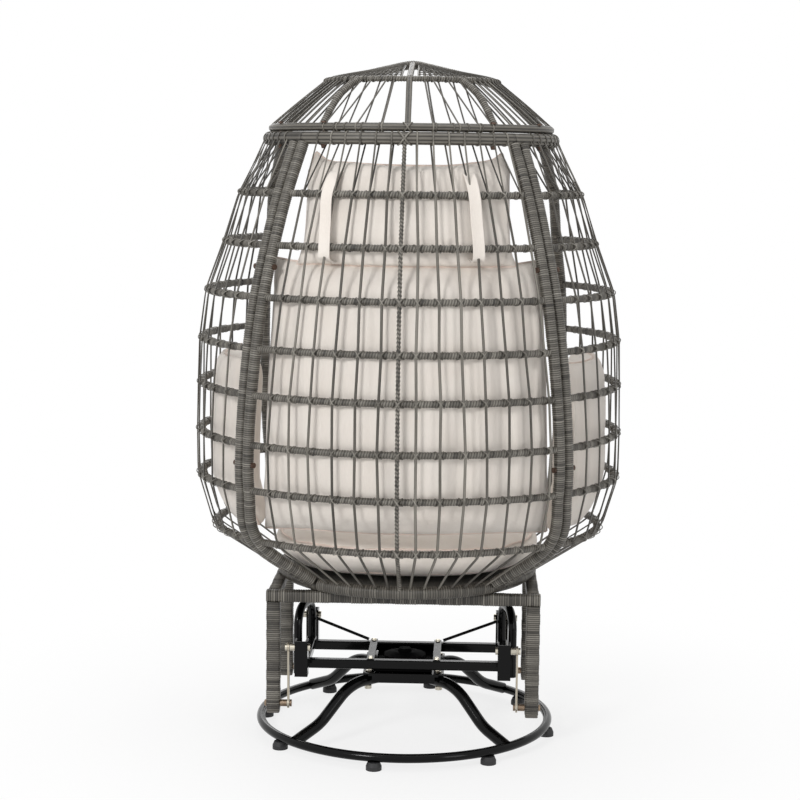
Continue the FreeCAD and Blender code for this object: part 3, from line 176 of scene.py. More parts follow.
def metal_material(name, color, roughness, metallic=0.0, coat=0.0, depth=0.00006, wear=None, spec=0.5):
    """A hard surface with cloudy roughness, a worn colour in its lighter clouds and a fine grain."""
    g = Graph(name, color, roughness, Metallic=metallic, Coat_Weight=coat, Coat_Roughness=0.06, Specular_IOR_Level=spec)
    place = g.place()
    cloud = g.noise(place, 24.0, 5.0, 0.62)
    grain = g.noise(place, 1200.0, 2.0)
    g.put(g.bsdf.inputs["Roughness"], g.ranged(cloud, roughness * 0.72, min(roughness * 1.35, 1.0)))
    light = wear or tuple(min(c * 1.2, 1.0) for c in color)
    shades = g.ramp(cloud, ((0.3, tuple(c * 0.8 for c in color)), (0.7, light)))
    return g.dress(shades, g.bump(grain, depth, 0.6))


black_steel = metal_material("black_powder_coat", (0.0012, 0.0012, 0.0013), 0.16, coat=0.1, spec=0.12)
dull_steel = metal_material("black_primer", (0.0012, 0.0012, 0.0013), 0.75, spec=0.03)
zinc = metal_material("zinc_plate", (0.60, 0.56, 0.47), 0.30, 1.0, depth=0.00003)
link_steel = metal_material("link_steel", (0.56, 0.52, 0.44), 0.32, 1.0, depth=0.00003, wear=(0.42, 0.36, 0.27))
bronze = metal_material("bronzed_bolt", (0.085, 0.052, 0.038), 0.42, 0.55, depth=0.00005)
old_zinc = metal_material("tarnished_zinc", (0.17, 0.11, 0.075), 0.36, 1.0, depth=0.00005, wear=(0.38, 0.30, 0.22))
rubber = metal_material("moulded_rubber", (0.017, 0.017, 0.018), 0.62, depth=0.0001)
nylon = metal_material("nylon", (0.62, 0.60, 0.55), 0.5)
end_plastic = metal_material("end_cap_plastic", (0.11, 0.10, 0.088), 0.5)


# Egg outline: height, half width, rear depth, half width and depth of the front tube,
# half width of the back panel
LEVELS = (
    (1294.5, 307.0, 190.0, 288.0, -150.0, 216.0),
    (1180.0, 365.0, 250.0, 318.0, -232.0, 248.0),
    (1074.0, 399.0, 303.0, 330.0, -286.0, 271.0),
    (968.5, 438.0, 336.0, 344.0, -322.0, 290.0),
    (863.5, 452.0, 350.0, 350.0, -350.0, 304.0),
    (766.5, 455.0, 352.0, 350.0, -357.25, 314.0),
    (662.5, 457.0, 350.0, 348.0, -357.25, 321.0),
    (565.0, 456.0, 337.0, 340.0, -350.0, 321.0),
    (452.0, 422.0, 308.0, 316.0, -322.0, 303.0),
    (352.0, 273.0, 222.0, 196.0, -262.0, 177.0),
)
MIDDLE = -50.0
EDGE_R, RING_R, TOP_R, RIM_R, SEAT_R = 12.0, 7.0, 13.5, 9.0, 14.0
UP = np.array((0.0, 0.0, 1.0))


class PlanArc:
    """A level arc through three plan points, walked from the first to the last."""

    def __init__(self, first, middle, last, height):
        (ax, ay), (bx, by), (cx, cy) = first, middle, last
        d = 2 * (ax * (by - cy) + bx * (cy - ay) + cx * (ay - by))
        a2, b2, c2 = ax * ax + ay * ay, bx * bx + by * by, cx * cx + cy * cy
        x = (a2 * (by - cy) + b2 * (cy - ay) + c2 * (ay - by)) / d
        y = (a2 * (cx - bx) + b2 * (ax - cx) + c2 * (bx - ax)) / d
        self.centre = np.array((x, y, height))
        self.radius = math.hypot(ax - x, ay - y)
        self.start = math.atan2(ay - y, ax - x)
        sweep = (math.atan2(cy - y, cx - x) - self.start) % (2 * math.pi)
        if (math.atan2(by - y, bx - x) - self.start) % (2 * math.pi) > sweep:
            sweep -= 2 * math.pi
        self.sweep = sweep

    def length(self):
        return abs(self.sweep) * self.radius

    def out(self, share):
        angle = self.start + self.sweep * share
        return np.array((math.cos(angle), math.sin(angle), 0.0))

    def at(self, share, out=0.0):
        return self.centre + self.out(share) * (self.radius + out)


class Level:
    def __init__(self, values):
        self.height, self.half, self.rear, self.front_half, self.front, self.joint = values
        across = min(self.joint / self.half, 0.98)
        joint_y = MIDDLE + (self.rear - MIDDLE) * math.sqrt(1 - across * across)
        self.back = PlanArc((self.joint, joint_y), (0, self.rear), (-self.joint, joint_y), self.height)
        self.side = {sign: PlanArc((self.joint * sign, joint_y), (self.half * sign, MIDDLE),
                                   (self.front_half * sign, self.front), self.height) for sign in (-1, 1)}


levels = [Level(values) for values in LEVELS]
rings = levels[1:-1]


def blend(height):
    """The outline between two levels, eased so that the cage has no kink at a ring."""
    for upper, lower in zip(LEVELS, LEVELS[1:]):
        if upper[0] >= height >= lower[0]:
            share = (upper[0] - height) / (upper[0] - lower[0])
            return Level([a + (b - a) * share for a, b in zip(upper, lower)])
    return levels[0] if height > LEVELS[0][0] else levels[-1]


# Mesh tools. Lengths are in millimetres until a batch is built.
def unit(v):
    return v / np.linalg.norm(v, axis=-1, keepdims=True)


def run_along(path):
    """The distance walked at each point of a path."""
    return np.concatenate([[0], np.cumsum(np.linalg.norm(np.diff(path, axis=0), axis=1))])


def run_length(path):
    return float(np.linalg.norm(np.diff(path, axis=0), axis=1).sum())


def sample(field, run, marks):
    return np.stack([np.interp(marks, run, field[:, k]) for k in range(3)], 1)


def smooth_line(points, step=6.0, closed=False):
    """Even points on a Catmull-Rom curve through the given ones."""
    p = np.array(points, float)
    spans = len(p) if closed else len(p) - 1
    p = np.vstack([p[-1], p, p[0], p[1]] if closed else [2 * p[0] - p[1], p, 2 * p[-1] - p[-2]])
    t = np.linspace(0, 1, 24, endpoint=False)[:, None]
    dense = []
    for k in range(spans):
        a, b, c, d = p[k:k + 4]
        dense.append(0.5 * (2 * b + (c - a) * t + (2 * a - 5 * b + 4 * c - d) * t ** 2
                            + (3 * b - a - 3 * c + d) * t ** 3))
    dense = np.vstack(dense + [p[1:2] if closed else p[-2:-1]])
    run = run_along(dense)
    return sample(dense, run, np.linspace(0, run[-1], max(int(run[-1] / step), 2) + 1))


def eased(knots, parts, step=6.0):
    """Straight runs from knot to knot, with every corner eased."""
    dense = []
    for a, b in zip(knots, knots[1:]):
        dense += [a + (b - a) * k / parts for k in range(parts)]
    dense = np.array(dense + [knots[-1]])
    for _ in range(2):
        dense[1:-1] = (dense[:-2] + 2 * dense[1:-1] + dense[2:]) / 4
    return smooth_line(dense, step)


def place_object(name, data):
    thing = bpy.data.objects.new(name, data)
    scene.collection.objects.link(thing)
    return thing


class Batch:
    """Many swept parts joined in one object."""

    def __init__(self):
        self.verts, self.faces, self.maps, self.tints, self.count = [], [], [], [], 0

    def grid(self, points, around, along, tint, closed_run=False, ends=True):
        """points is (stations, sides, 3); around and along are the run map's coordinates in millimetres."""
        m, n = points.shape[:2]
        self.verts.append(points.reshape(-1, 3))
        self.tints.append(np.broadcast_to(tint, (m, n)).reshape(-1))
        r, c = np.meshgrid(np.arange(m if closed_run else m - 1), np.arange(n), indexing="ij")
        r2, c2 = (r + 1) % m, (c + 1) % n
        quads = np.stack([r * n + c, r * n + c2, r2 * n + c2, r2 * n + c], -1).reshape(-1, 4)
        a = np.append(around, around[-1] * 2 - around[-2])
        b = np.append(along, along[-1] * 2 - along[-2])
        uv = np.stack([
            np.stack([a[c], b[r]], -1), np.stack([a[c + 1], b[r]], -1),
            np.stack([a[c + 1], b[r + 1]], -1), np.stack([a[c], b[r + 1]], -1),
        ], 2).reshape(-1, 2)
        self.faces.append(quads + self.count)
        self.maps.append(uv)
        if ends and not closed_run:
            for base, flip in ((0, True), ((m - 1) * n, False)):
                tip = points.reshape(-1, 3)[base:base + n].mean(0)
                self.verts.append(tip[None])
                self.tints.append(np.array([float(np.ravel(np.broadcast_to(tint, (m, n)))[base])]))
                tip_index = self.count + m * n + (0 if flip else 1)
                ring = self.count + base + np.arange(n)
                fan = np.stack([ring, np.roll(ring, -1), np.full(n, tip_index), np.full(n, tip_index)], 1)
                self.faces.append(fan[:, [1, 0, 2, 3]] if flip else fan)
                self.maps.append(np.zeros((n * 4, 2)))
            self.count += 2
        self.count += m * n

    def build(self, name, material, replaced=(), slot="wicker", along_fibre=False):
        verts = np.vstack(self.verts) * MM
        faces = np.vstack(self.faces)
        maps = np.vstack(self.maps) * MM
        if along_fibre:
            maps = maps[:, ::-1]
        tri = faces[:, 2] == faces[:, 3]
        loops = [list(f[:3]) if t else list(f) for f, t in zip(faces.tolist(), tri.tolist())]
        mesh = bpy.data.meshes.new(name)
        mesh.from_pydata(verts.tolist(), [], loops)
        layer = mesh.uv_layers.new(name="run")
        keep = np.ones(len(faces) * 4, bool)
        keep[3::4] = ~tri
        layer.data.foreach_set("uv", maps[keep].astype(np.float32).ravel())
        tint = mesh.attributes.new("tint", "FLOAT", "POINT")
        tint.data.foreach_set("value", np.concatenate(self.tints).astype(np.float32))
        mesh.polygons.foreach_set("use_smooth", [True] * len(loops))
        mesh.validate()
        mesh.materials.append(material)
        piece = place_object(name, mesh)
        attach(piece, "chair")
        if replaced:
            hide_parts(*replaced)


def frame_along(path, lift):
    """Two cross directions of a path; lift is one vector or one for each point."""
    ways = unit(np.gradient(path, axis=0))
    lift = np.broadcast_to(np.asarray(lift, float), path.shape)
    u = unit(lift - ways * (lift * ways).sum(1, keepdims=True))
    return u, np.cross(ways, u)


def sweep(batch, path, lift, marks, shape, around, tint, even=False, **kind):
    """An outline carried along a path; shape holds its reach along u and along v at each mark."""
    run = run_along(path)
    centre, u, v = (sample(field, run, marks) for field in (path, *frame_along(path, lift)))
    if even:
        u, v = unit(u), unit(v)
    points = centre[:, None] + u[:, None] * shape[0][..., None] + v[:, None] * shape[1][..., None]
    batch.grid(points, around, marks, tint, **kind)


def turn_angles(sides):
    return 2 * np.pi * np.arange(sides) / sides


def even_marks(path, step, least=2):
    total = run_length(path)
    return np.linspace(0, total, max(int(total / step), least) + 1)


def clamp(value, low=0, high=1):
    return min(max(value, low), high)


def squared(half, corner):
    """Outline of a square bar with rounded corners."""
    points = []
    for quarter in range(4):
        turn = math.pi / 2 * quarter
        for k in range(3):
            angle = math.pi / 4 * k
            x, y = (half - corner + corner * f for f in (math.cos(angle), math.sin(angle)))
            points.append((x * math.cos(turn) - y * math.sin(turn), x * math.sin(turn) + y * math.cos(turn)))
    return np.array(points)


def wrapped(batch, path, lift, size, pitch=4.5, depth=1.2, bands=0, closed=False, seed=1, tone=0.52):
    """A tube wound with flat strips: each strip is a low crown between two grooves, with painted shade in the grooves
    and a painted highlight on the crown.

    size is a radius or an outline, and bands is how many strips keep one shade in a banded winding.
    """
    local = random.Random(seed)
    total = run_length(path)
    turns = max(int(round(total / pitch)), 1)
    step = total / turns
    angles = turn_angles(16)
    shape = np.stack([np.cos(angles), np.sin(angles)], 1) * size if np.isscalar(size) else size
    # Each row: place in the turn, sink, and a painted light factor: 0 paints shade in the groove, 1.2 paints a
    # highlight on the crown; an open end closes on painted shade.
    crown = ((0.03, depth, 0.0), (0.2, depth * 0.2, 0.8), (0.5, -0.15, 1.2), (0.8, depth * 0.2, 0.8))
    marks, drop, tint = [], [], []
    for k in range(turns):
        shade = clamp(local.gauss(tone, 0.11), 0.2, 0.9)
        lift_band = 0.0
        if bands:
            group = (k // bands) % 2
            lift_band = 0.5 if group else -0.15
            shade = clamp(shade + (0.10 if group else -0.08))
        wobble = local.uniform(-0.15, 0.15)
        for place, sink, painted_light in crown:
            marks.append((k + place) * step)
            drop.append(sink - lift_band - wobble)
            tint.append(shade * painted_light)
    if not closed:
        marks.append(total)
        drop.append(depth)
        tint.append(0.1)
    marks, drop, tint = np.array(marks), np.array(drop), np.array(tint)
    scale = 1 - drop[:, None] / np.linalg.norm(shape, axis=1)[None]
    sweep(batch, path, lift, marks, (shape[None, :, 0] * scale, shape[None, :, 1] * scale),
          run_along(shape), tint[:, None], even=True, closed_run=closed)


def round_sweep(batch, path, lift, marks, radii, radius, angles, tint):
    shape = (np.cos(angles)[None] * radii, np.sin(angles)[None] * radii)
    sweep(batch, path, lift, marks, shape, angles * radius, tint)


def twisted(batch, path, lift, radius, pitch=5.8, depth=1.1, sides=14, sharp=2.0, seed=1):
    """A rod wound at a slant, so that its ridges run round it like a rope's, with painted shade in its grooves."""
    local = random.Random(seed)
    marks = even_marks(path, 1.4)
    angles = turn_angles(sides)
    phase = marks[:, None] / pitch * np.pi + angles[None]
    groove = np.abs(np.cos(phase)) ** sharp
    cell = np.floor(phase / np.pi + 0.5).astype(int)
    shades = np.array([clamp(local.gauss(0.55, 0.15), 0.1, 0.95) for _ in range(cell.max() - cell.min() + 1)])
    # Painted shade darkens each groove, and a faint painted highlight lifts each ridge.
    tint = shades[cell - cell.min()] * (1.1 - 0.95 * groove ** 2)
    round_sweep(batch, path, lift, marks, radius - depth * groove, radius, angles, tint)


def ribbed(batch, path, lift, radius, ribs=10, depth=0.8, seed=1):
    """A tube covered by strips laid along it, with painted shade in the grooves between strips and a painted highlight
    on each crown.
    """
    local = random.Random(seed)
    marks = even_marks(path, 9.0)
    sink = np.tile(np.array((1.0, 0.15, 0.0, 0.15)) * depth, ribs)
    shades = np.repeat([local.uniform(0.22, 0.62) for _ in range(ribs)], 4)
    # Tint across each strip: painted shade in the groove (0.1) and a painted highlight on the crown (1.1).
    tint = shades * np.tile((0.1, 0.9, 1.1, 0.9), ribs)
    waver = 0.25 * np.sin(marks / 31.0 + seed)[:, None]
    radii = radius - sink[None] + waver * 0.4
    round_sweep(batch, path, lift, marks, radii, radius, turn_angles(ribs * 4), tint[None])


def strip(batch, path, lift, wide=5.8, thick=3.6, tint=0.5, step=10.0, sides=8, ends=True):
    """One strand: a flat oval strip with a shallow groove down its face, its broad faces painted lighter and its edges
    darkened with painted shade.
    """
    marks = even_marks(path, step, 3)
    angles = turn_angles(sides)
    across, deep = np.sin(angles) * wide / 2, np.cos(angles) * thick / 2
    deep = np.where(np.abs(np.cos(angles)) > 0.95, deep * 0.78, deep)
    shade = tint + 0.10 * np.sin(marks / 60.0 + tint * 40)
    # Painted light: the broad faces lighter, the edges darker as painted shade.
    face = 0.55 + 0.6 * np.abs(np.cos(angles))
    sweep(batch, path, lift, marks, (deep[None], across[None]), angles * wide / 2,
          np.clip(shade[:, None] * face[None], 0, 1), even=True, ends=ends)


def around_tube(out, side, degrees, count):
    """Angles about a tube from its outer side, and the way out at each."""
    angles = np.radians(np.linspace(*degrees, count))
    return angles, out[None] * np.cos(angles)[:, None] + side[None] * np.sin(angles)[:, None]


def lashing(batch, centre, way, out, core, over, reach=8.5, wide=3.0, tint=0.5):
    """A crossed pair of strips that ties a strand on a ring."""
    way, out = unit(way), unit(out - way * np.dot(out, way))
    angles, around = around_tube(out, np.cross(way, out), (-158, 158), 21)
    rise = np.exp(-(angles / 0.62) ** 2)
    for hand in (-1, 1):
        radii = core + 1.3 + (over + (0.9 if hand > 0 else 0.0)) * rise
        run = hand * reach * np.sin(np.clip(angles / math.radians(100), -1, 1) * math.pi / 2)
        line = centre + way * run[:, None] + around * radii[:, None]
        strip(batch, line, around, wide, 1.5, clamp(tint + rng.uniform(-0.12, 0.2)), step=2.4, sides=6)


def loop_over(batch, centre, out, radius, wide, tint, way=None):
    """A strand's turn over the outside of a tube."""
    way = unit(np.cross(UP, out)) if way is None else way
    _, around = around_tube(out, np.cross(way, out), (-100, 165), 18)
    strip(batch, centre + around * (radius + 0.9), around, wide, 1.9, tint, step=3.5, sides=6, ends=False)


def clear_end(path, low, high=math.inf):
    return path[(path[:, 2] >= low) & (path[:, 2] <= high)]


def way_at(arc, share):
    return unit(arc.at(share + 0.01) - arc.at(share - 0.01))


def ring_line(arc, first, last, count=40):
    return np.array([arc.at(first + (last - first) * k / count) for k in range(count + 1)])


# Cage: edge tubes
SIDES = ((1, "left"), (-1, "right"))
TOP_Z, SEAT_Z = LEVELS[0][0], LEVELS[-1][0]
CAGE_LOW, CAGE_HIGH = SEAT_Z + SEAT_R * 0.55, TOP_Z - TOP_R * 0.55
PAIR_GAP = 0.5


def pair_offset(sign):
    """How far each side panel starts from the back panel, so that their edge tubes clear."""
    line = [level.back.at(0.0 if sign > 0 else 1.0) for level in levels]
    offsets = []
    for k, level in enumerate(levels):
        along = unit(level.side[sign].at(0.02) - level.side[sign].at(0.0))
        need = 0.0
        for j in (k - 1, k):
            if 0 <= j < len(line) - 1:
                lean = abs(float(np.dot(along, unit(line[j + 1] - line[j]))))
                need = max(need, (2 * EDGE_R + PAIR_GAP) / math.sqrt(1 - lean * lean))
        offsets.append(need)
    return offsets


def edge_tube(batch, points, seed):
    wrapped(batch, clear_end(smooth_line(points), CAGE_LOW, CAGE_HIGH), (0, 1, 0), EDGE_R, seed=seed)


batch = Batch()
for sign in (1, -1):
    edge_tube(batch, [level.back.at(0.0 if sign > 0 else 1.0) for level in levels], 3 + sign)
batch.build("back_edge_wrap", wicker, ("back_edge_tubes",))
side_start = {}
for sign, name in SIDES:
    side_start[sign] = [off / level.side[sign].length() for off, level in zip(pair_offset(sign), levels)]
    batch = Batch()
    edge_tube(batch, [level.side[sign].at(s) for level, s in zip(levels, side_start[sign])], 20 + sign)
    edge_tube(batch, [level.side[sign].at(1.0) for level in levels], 30 + sign)
    batch.build(name + "_edge_wrap", wicker, (name + "_edge_tubes",))

# Cage: rings, strands and lashings
SPINE_SHARE, FIRST_STEP, STRAND_STEP = 0.488, 0.055, 0.0688
SIDE_STRANDS = 11
REACH = RING_R + 2.4
STRAND_LOW, SPINE_HIGH = SEAT_Z + 4, TOP_Z + 1.5
RING_WRAP = RING_R + 0.7
back_shares = sorted([SPINE_SHARE - FIRST_STEP - STRAND_STEP * k for k in range(6)]
                     + [SPINE_SHARE + FIRST_STEP + STRAND_STEP * k for k in range(7)])


def strand_path(spots, outs, jitter):
    """A strand lies over each ring and runs straight from ring to ring."""
    knots = []
    for k, (spot, out) in enumerate(zip(spots, outs)):
        far = REACH if 0 < k < len(spots) - 1 else 0.0
        knots.append(spot + out * far + np.cross(UP, out) * jitter[k])
    return eased(knots, 10, 5.0)


def fork(batch, arc, share, foot, foot_out, toward, tint, inset=0.75, wide=3.9, lead=0.0):
    """The top bay: each strand is a loop over the top tube, with a front leg and a rear leg."""
    front_top = arc.at(share + lead / arc.length(), TOP_R * 0.9) - UP * 3
    rear_top = arc.at(share + toward / arc.length(), -TOP_R * inset) - UP * 6
    # The outer leg is painted lighter and the inner leg darker: painted light and painted shade on one strand.
    for top, painted_light in ((front_top, 0.12), (rear_top, -0.28)):
        middle = (top + foot) / 2 - foot_out * 0.5
        strip(batch, smooth_line([foot, middle, top], 6.0), foot_out, wide, 2.6, clamp(tint + painted_light))
    loop_over(batch, arc.at(share), arc.out(share), TOP_R, 4.2, min(tint + 0.1, 1), way_at(arc, share))


class Panel:
    """The rings, strands and lashings of one side of the cage."""

    def __init__(self, name, arcs, starts, ends, seeds):
        self.name, self.arcs = name, arcs
        self.rings, self.strands, self.knots = Batch(), Batch(), Batch()
        for arc, start, end, seed in zip(arcs[1:-1], starts[1:-1], ends[1:-1], seeds):
            twisted(self.rings, ring_line(arc, start, end), UP, RING_WRAP, seed=seed)

    def strand(self, shares, jitter, wide, lift, tie_tint, *legs):
        spots = [arc.at(s) for arc, s in zip(self.arcs, shares)]
        outs = [arc.out(s) for arc, s in zip(self.arcs, shares)]
        tone = rng.uniform(0.3, 0.75)
        foot = spots[1] + outs[1] * (REACH - 0.6) + np.cross(UP, outs[1]) * jitter[1]
        path = strand_path([foot - outs[1] * REACH] + spots[1:], [outs[1]] + outs[1:], [0.0] + jitter[1:])
        strip(self.strands, clear_end(path, STRAND_LOW), lift(outs), wide, 3.6, tone)
        fork(self.strands, self.arcs[0], shares[0], foot, outs[1], legs[0], tone, *legs[1:])
        for arc, s, spot, out, move in list(zip(self.arcs, shares, spots, outs, jitter))[1:-1]:
            lashing(self.knots, spot + np.cross(UP, out) * move, way_at(arc, s), out, RING_R, 3.8,
                    tint=rng.uniform(tie_tint, 0.75))

    def build(self):
        self.rings.build(self.name + "_ring_wrap", wicker, (self.name + "_rings",))
        self.strands.build(self.name + "_strand_strips", wicker_strand, (self.name + "_strands",), along_fibre=True)
        self.knots.build(self.name + "_lashings", wicker, along_fibre=True)


arcs = [level.back for level in levels]
margins = [EDGE_R * 0.75 / arc.length() for arc in arcs]
panel = Panel("back", arcs, margins, [1 - m for m in margins], range(41, 49))
jitters = [[rng.uniform(-2.2, 2.2) for _ in levels] for _ in back_shares]
for share, jitter in zip(back_shares, jitters):
    panel.strand([share] * len(levels), jitter, 5.8, lambda outs: np.mean(outs, axis=0), 0.45,
                 14.0 * (0.5 - share) / 0.5)
panel.build()

# Twisted spine
batch = Batch()
spine = [(arc.at(SPINE_SHARE), way_at(arc, SPINE_SHARE), arc.out(SPINE_SHARE)) for arc in arcs]
outs = [out for _, _, out in spine]
path = strand_path([spot for spot, _, _ in spine], outs, [0.0] * len(levels))
twisted(batch, clear_end(path, STRAND_LOW, SPINE_HIGH), np.mean(outs, axis=0), 4.9,
        pitch=8.5, depth=1.5, sides=12, sharp=1.6, seed=9)
for spot, way, out in spine[1:-1]:
    lashing(batch, spot, way, out, RING_R, 6.4, reach=10.5, wide=4.0, tint=0.62)
lashing(batch, *spine[0], TOP_R, 1.6, reach=14.0, wide=4.2, tint=0.5)
batch.build("spine_twist", wicker, ("back_spine",))

for sign, name in SIDES:
    arcs = [level.side[sign] for level in levels]
    edges = [EDGE_R * 0.75 / arc.length() for arc in arcs]
    starts = [start + edge for start, edge in zip(side_start[sign], edges)]
    panel = Panel(name, arcs, starts, [1 - edge for edge in edges], [60 + k * sign for k in range(1, 9)])
    for number in range(1, SIDE_STRANDS + 1):
        shares = [s + (1 - s) * (number / (SIDE_STRANDS + 1.0)) for s in side_start[sign]]
        jitter = [rng.uniform(-2.0, 2.0) for _ in levels]
        panel.strand(shares, jitter, 5.6, lambda outs: outs[4], 0.4, -24.0, 0.35, 4.8, -7.0)
    panel.build()

# Top tube, rim and cap
top = levels[0]
side_end = 1.0 + (EDGE_R + 1.0) / top.side[1].length()
batch = Batch()
ribbed(batch, ring_line(top.back, 0.0, 1.0), UP, TOP_R, seed=5)
batch.build("back_top_wrap", wicker, ("back_top_tube",), along_fibre=True)
for sign, name in SIDES:
    batch = Batch()
    ribbed(batch, ring_line(top.side[sign], 0.004, side_end), UP, TOP_R, seed=6 + sign)
    batch.build(name + "_top_wrap", wicker, (name + "_top_tube",), along_fibre=True)

RIM_Z = TOP_Z + TOP_R + RIM_R + 0.2
RIM_IN = -6.0
lift = UP * (RIM_Z - TOP_Z)
rim_points = [top.side[1].at(side_end * k / 7.0, RIM_IN) + lift for k in range(7, 0, -1)]
rim_points += [top.back.at(k / 8.0, RIM_IN) + lift for k in range(9)]
rim_points += [top.side[-1].at(side_end * k / 7.0, RIM_IN) + lift for k in range(1, 8)]
rim_line = smooth_line(rim_points)
rim_run = run_along(rim_line)
batch = Batch()
ribbed(batch, rim_line, UP, RIM_R, ribs=8, depth=0.6, seed=12)
batch.build("cap_rim_wrap", wicker, ("cap_rim",), along_fibre=True)

MID_R, MID_Z, MID_Y, MID_TUBE, ARCH_R, RIB_R = 187.0, RIM_Z + 101.8, -87.0, 6.0, 10.0, 7.5
MID = np.array((0, MID_Y, MID_Z))
crown = np.array((0.0, -112.0, 1460.0))
knees = {s: np.array((MID_R * 0.971 * s, MID_Y - 0.24 * MID_R, MID_Z)) for s in (1, -1)}
foot_at = top.side[1].at(1.0, RIM_IN)
feet = {s: np.array((foot_at[0] * s, foot_at[1], RIM_Z + RIM_R * 0.4)) for s in (1, -1)}
batch = Batch()
wrapped(batch, eased([feet[1], knees[1], crown, knees[-1], feet[-1]], 14), (0, 1, 0), ARCH_R, seed=14)
batch.build("cap_arch_wrap", wicker, ("cap_front_arch",))


def on_ring(angle, sign=1, inside=0.0):
    """A spot on the cap's middle ring, and the way out from its centre."""
    ray = np.array((math.cos(angle) * sign, math.sin(angle), 0.0))
    return MID + ray * (MID_R - inside), ray


def ring_at_x(x):
    return on_ring(math.acos(x / MID_R))


def rim_out(spot):
    return spot, unit(spot * (1, 1, 0) - np.array((0, MIDDLE, 0)))


def rim_spot(share):
    return rim_out(np.array([np.interp(share * rim_run[-1], rim_run, rim_line[:, k]) for k in range(3)]))


def rim_at_x(x):
    """The spot on the rear of the rim with this X."""
    return rim_out(min((spot for spot in rim_line if spot[1] > 0), key=lambda spot: abs(spot[0] - x)))


open_from = math.radians(-13.9) + (ARCH_R * 0.6) / MID_R
span = math.pi - 2 * open_from
batch = Batch()
twisted(batch, np.array([on_ring(open_from + span * (k / 48.0))[0] for k in range(49)]), UP, MID_TUBE + 0.4, seed=15)
batch.build("cap_ring_wrap", wicker, ("cap_middle_ring",))

RIB_FOOT_X, RIB_HEAD_X, RIB_BULGE = 183.0, 106.0, 12.0
batch = Batch()
for sign in (1, -1):
    low, out = rim_at_x(RIB_FOOT_X * sign)
    high, ray = ring_at_x(RIB_HEAD_X * sign)
    line = [low]
    for k in range(1, 8):
        bulge = math.sin(math.pi * (k / 8.0) ** 1.2) * RIB_BULGE
        line.append(low + (high - low) * k / 8.0 + out * bulge * 0.8 + UP * bulge * 0.75)
    wrapped(batch, smooth_line(line + [high]), out, RIB_R, pitch=4.6, seed=16)
low, out = rim_spot(0.5)
high, _ = on_ring(open_from + span * 0.5)
for a, b in ((low, high), (high, crown)):
    ribbed(batch, smooth_line([a, (a + b) / 2, b]), (1, 0, 0), 7.0, ribs=4, depth=1.3, seed=17)
lashing(batch, low, unit(rim_spot(0.505)[0] - rim_spot(0.495)[0]), out, RIM_R, 1.5, reach=9.0, wide=4.0, tint=0.5)
batch.build("cap_rib_wrap", wicker, ("cap_ribs",))

# The cap's strands: X of foot and head of the crossing pairs, then the strips at the sides and to the arch
RAKED = ((171, 98), (144, 77), (103, 47), (53, 31))
STEEP = ((148, 115), (124, 92), (92, 61), (58, 38))
CAP_SIDE, CAP_ARCH, CAP_LONG = 13, 21, 9


def cap_strip(low, out, high, ray, side, foot, bow, wide, tone):
    """A strip from one side of the rim to the same side of the middle ring."""
    a = low + out * RIM_R * foot * side + UP * 3
    b = high + ray * MID_TUBE * 0.8 * side
    strip(batch, smooth_line([a, (a + b) / 2 + out * bow, b]), out, wide, 2.8, tone)


batch = Batch()
for sign in (1, -1):
    # The strips on the inner side get the darker tone: painted shade.
    for pairs, side, tone in ((RAKED, 1, 0.55), (STEEP, -1, 0.3)):
        for foot_x, head_x in pairs:
            low, out = rim_at_x((foot_x + rng.uniform(-2, 2)) * sign)
            high, ray = ring_at_x((head_x + rng.uniform(-2, 2)) * sign)
            cap_strip(low, out, high, ray, side, 0.7, rng.uniform(-1.5, 1.5), 3.8, tone)
            loop_over(batch, low, out, RIM_R - 0.3, 4.0, tone + 0.25)
            loop_over(batch, high, ray, MID_TUBE, 4.0, tone + 0.2)
    for k in range(CAP_SIDE):
        along = 0.255 * k / (CAP_SIDE - 1.0)
        low, out = rim_spot(0.035 + along if sign > 0 else 0.965 - along)
        angle = math.radians(-7 + 58 * (k + rng.uniform(-0.2, 0.2)) / (CAP_SIDE - 1.0))
        high, ray = on_ring(angle, sign)
        tone = rng.uniform(0.35, 0.8)
        # The inner copy of each pair is drawn at half tone: painted shade.
        for side in (1, -1):
            cap_strip(low, out, high, ray, side, 0.8, 2, 5.4, tone if side > 0 else tone * 0.5)
        loop_over(batch, high, ray, MID_TUBE, 4.2, tone)
    wedge = []
    for k in range(CAP_ARCH):
        start, _ = on_ring(math.radians(2 + 82 * k / (CAP_ARCH - 1.0)), sign, 2)
        reach = 1.0 - (k + 0.5) / CAP_ARCH
        end = crown + (knees[sign] - crown) * (0.06 + 0.88 * reach) + UP * 2
        tone = rng.uniform(0.35, 0.8)
        strip(batch, smooth_line([start, (start + end) / 2 + UP * 3, end]), UP, 6.4, 2.6, tone)
        wedge.append((start, end))
    for k in range(CAP_LONG):
        part = 0.1 + 0.1 * k
        line = [a + (b - a) * part + UP * (5.5 + 3 * math.sin(math.pi * part)) for a, b in wedge]
        strip(batch, smooth_line(line, 8.0), UP, 5.6, 2.4, rng.uniform(0.3, 0.75))
batch.build("cap_strand_strips", wicker_strand, ("cap_strands",), along_fibre=True)

# Seat ring, woven deck and glider frame
seat = levels[-1]
nose = PlanArc((seat.front_half, seat.front), (0, seat.front - 62), (-seat.front_half, seat.front), seat.height)
seat_points = [seat.back.at(k / 8.0) for k in range(8)] + [seat.side[-1].at(k / 10.0) for k in range(10)]
seat_points += [nose.at(1 - k / 8.0) for k in range(8)] + [seat.side[1].at(1 - k / 10.0) for k in range(10)]
batch = Batch()
wrapped(batch, smooth_line(seat_points, closed=True)[:-1], UP, SEAT_R, pitch=5.2, closed=True, seed=21)
# The seat ring takes the darker strand material: painted shade, as the ring lies in shade under the seat.
batch.build("seat_ring_wrap", wicker_strand, ("seat_ring",))

